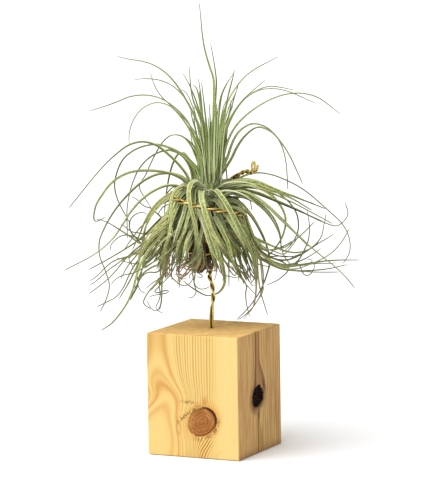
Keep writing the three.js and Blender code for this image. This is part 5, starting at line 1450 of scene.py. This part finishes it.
# Leaves at the back
# The same kinds of leaf, grown on the side turned away: some upright, most arching out and down, and
# husks round the foot of the stem, dark as dead leaf and as painted shade.
# A row is a count, then the least and most of a leaf's heading, root, reach, lift, fall, width, dryness.
BACK_LEAVES = [
    (26, (42, 138), (120, 130), (24, 52), (4, 13), (8, 34), (1.9, 2.7), (0, 0.2)),
    (22, (20, 160), (108, 121), (16, 40), (0, 6), (18, 34), (1.5, 2.2), (0, 0.3)),
    (14, (55, 125), (126, 132), (5, 15), (30, 62), (0, 4), (1.8, 2.3), (0, 0)),
    (26, (-20, 200), (104, 114), (12, 27), (0, 2), (12, 25), (1.5, 2.1), (0, 0.25)),
    # Husks round the stem, partly painted shade.
    (34, (-180, 180), (112, 122), (3, 6), (0, 1), (6, 12), (1.6, 2.4), (1.35, 1.6)),
    (18, (-165, -15), (104, 111), (4, 8), (0, 1), (3, 7), (1.3, 1.9), (0.6, 1)),
]
BACK_SPREAD = 18
BACK_STEPS = 8
BACK_SWAY = (-5, 5)
BACK_WAVER = (-0.5, 0.5)
BACK_BEND = (1.3, 2.2)
BACK_TWIST = 0.8
STIFF_LIFT = 60
OUT_POWER, FALL_POWER = 1.15, 2.2
FULL_BEND = 1.57
UPRIGHT_LIFT, UPRIGHT_YOUTH = 28, 0.7


def wild_leaf(rng, heading, root, reach, lift, fall, width, dryness_and_rim_light):
    """A leaf that grows out at that heading, rises by its lift, and comes down by its fall."""
    outward = around(heading)
    sideways = upright.cross(outward)
    reach = min(reach, BACK_SPREAD / max(abs(math.cos(math.radians(heading))), 0.1))
    axis = stem_centre(root)
    sway = rng.uniform(*BACK_SWAY)
    bend = rng.uniform(*BACK_BEND) / (1 + lift / STIFF_LIFT)
    points = []
    for step in range(BACK_STEPS + 1):
        share = step / BACK_STEPS
        out = stem_radius(root) * ROOT_SHARE + reach * math.sin(share * math.pi / 2) ** OUT_POWER
        up = lift * math.sin(min(share * bend, FULL_BEND)) - fall * share ** FALL_POWER
        side = sway * share ** 2 + rng.uniform(*BACK_WAVER) * share
        points.append(axis + outward * out + sideways * side + upright * up)
    line, _ = even_line(points, THIN_RINGS + 1)
    along, carried = carried_sides(line, sideways)
    twist, youth_and_shade = rng.uniform(-BACK_TWIST, BACK_TWIST), UPRIGHT_YOUTH * (lift > UPRIGHT_LIFT)
    return line, np.cross(along, carried), width, twist, rng.random(), dryness_and_rim_light, youth_and_shade


back_random = random.Random(26)
back = []
for count, *limits in BACK_LEAVES:
    for _ in range(count):
        back.append(wild_leaf(back_random, *(back_random.uniform(*pair) for pair in limits)))
grow_leaves("back_leaves", back)

# Dead sheaths round the foot
# What is left of the oldest leaves: short strips in the husk colour, dark brown and partly painted shade,
# split and curled, that clothe the stump. The limits are those of a sheath's root, reach, lift, fall and
# width.
SHEATHS = 54
SHEATH_LIMITS = ((93, 107), (0.6, 2.8), (0, 0.4), (2, 6.5), (0.7, 2.2))
SHEATH_SCATTER = (-20, 20)
SHEATH_DRYNESS = 1.5
sheath_random = random.Random(28)
sheaths = []
for number in range(SHEATHS):
    numbers = [sheath_random.uniform(*pair) for pair in SHEATH_LIMITS]
    heading = 360 * number / SHEATHS + sheath_random.uniform(*SHEATH_SCATTER)
    sheaths.append(wild_leaf(sheath_random, heading, *numbers, SHEATH_DRYNESS))
grow_leaves("dead_sheaths", sheaths)
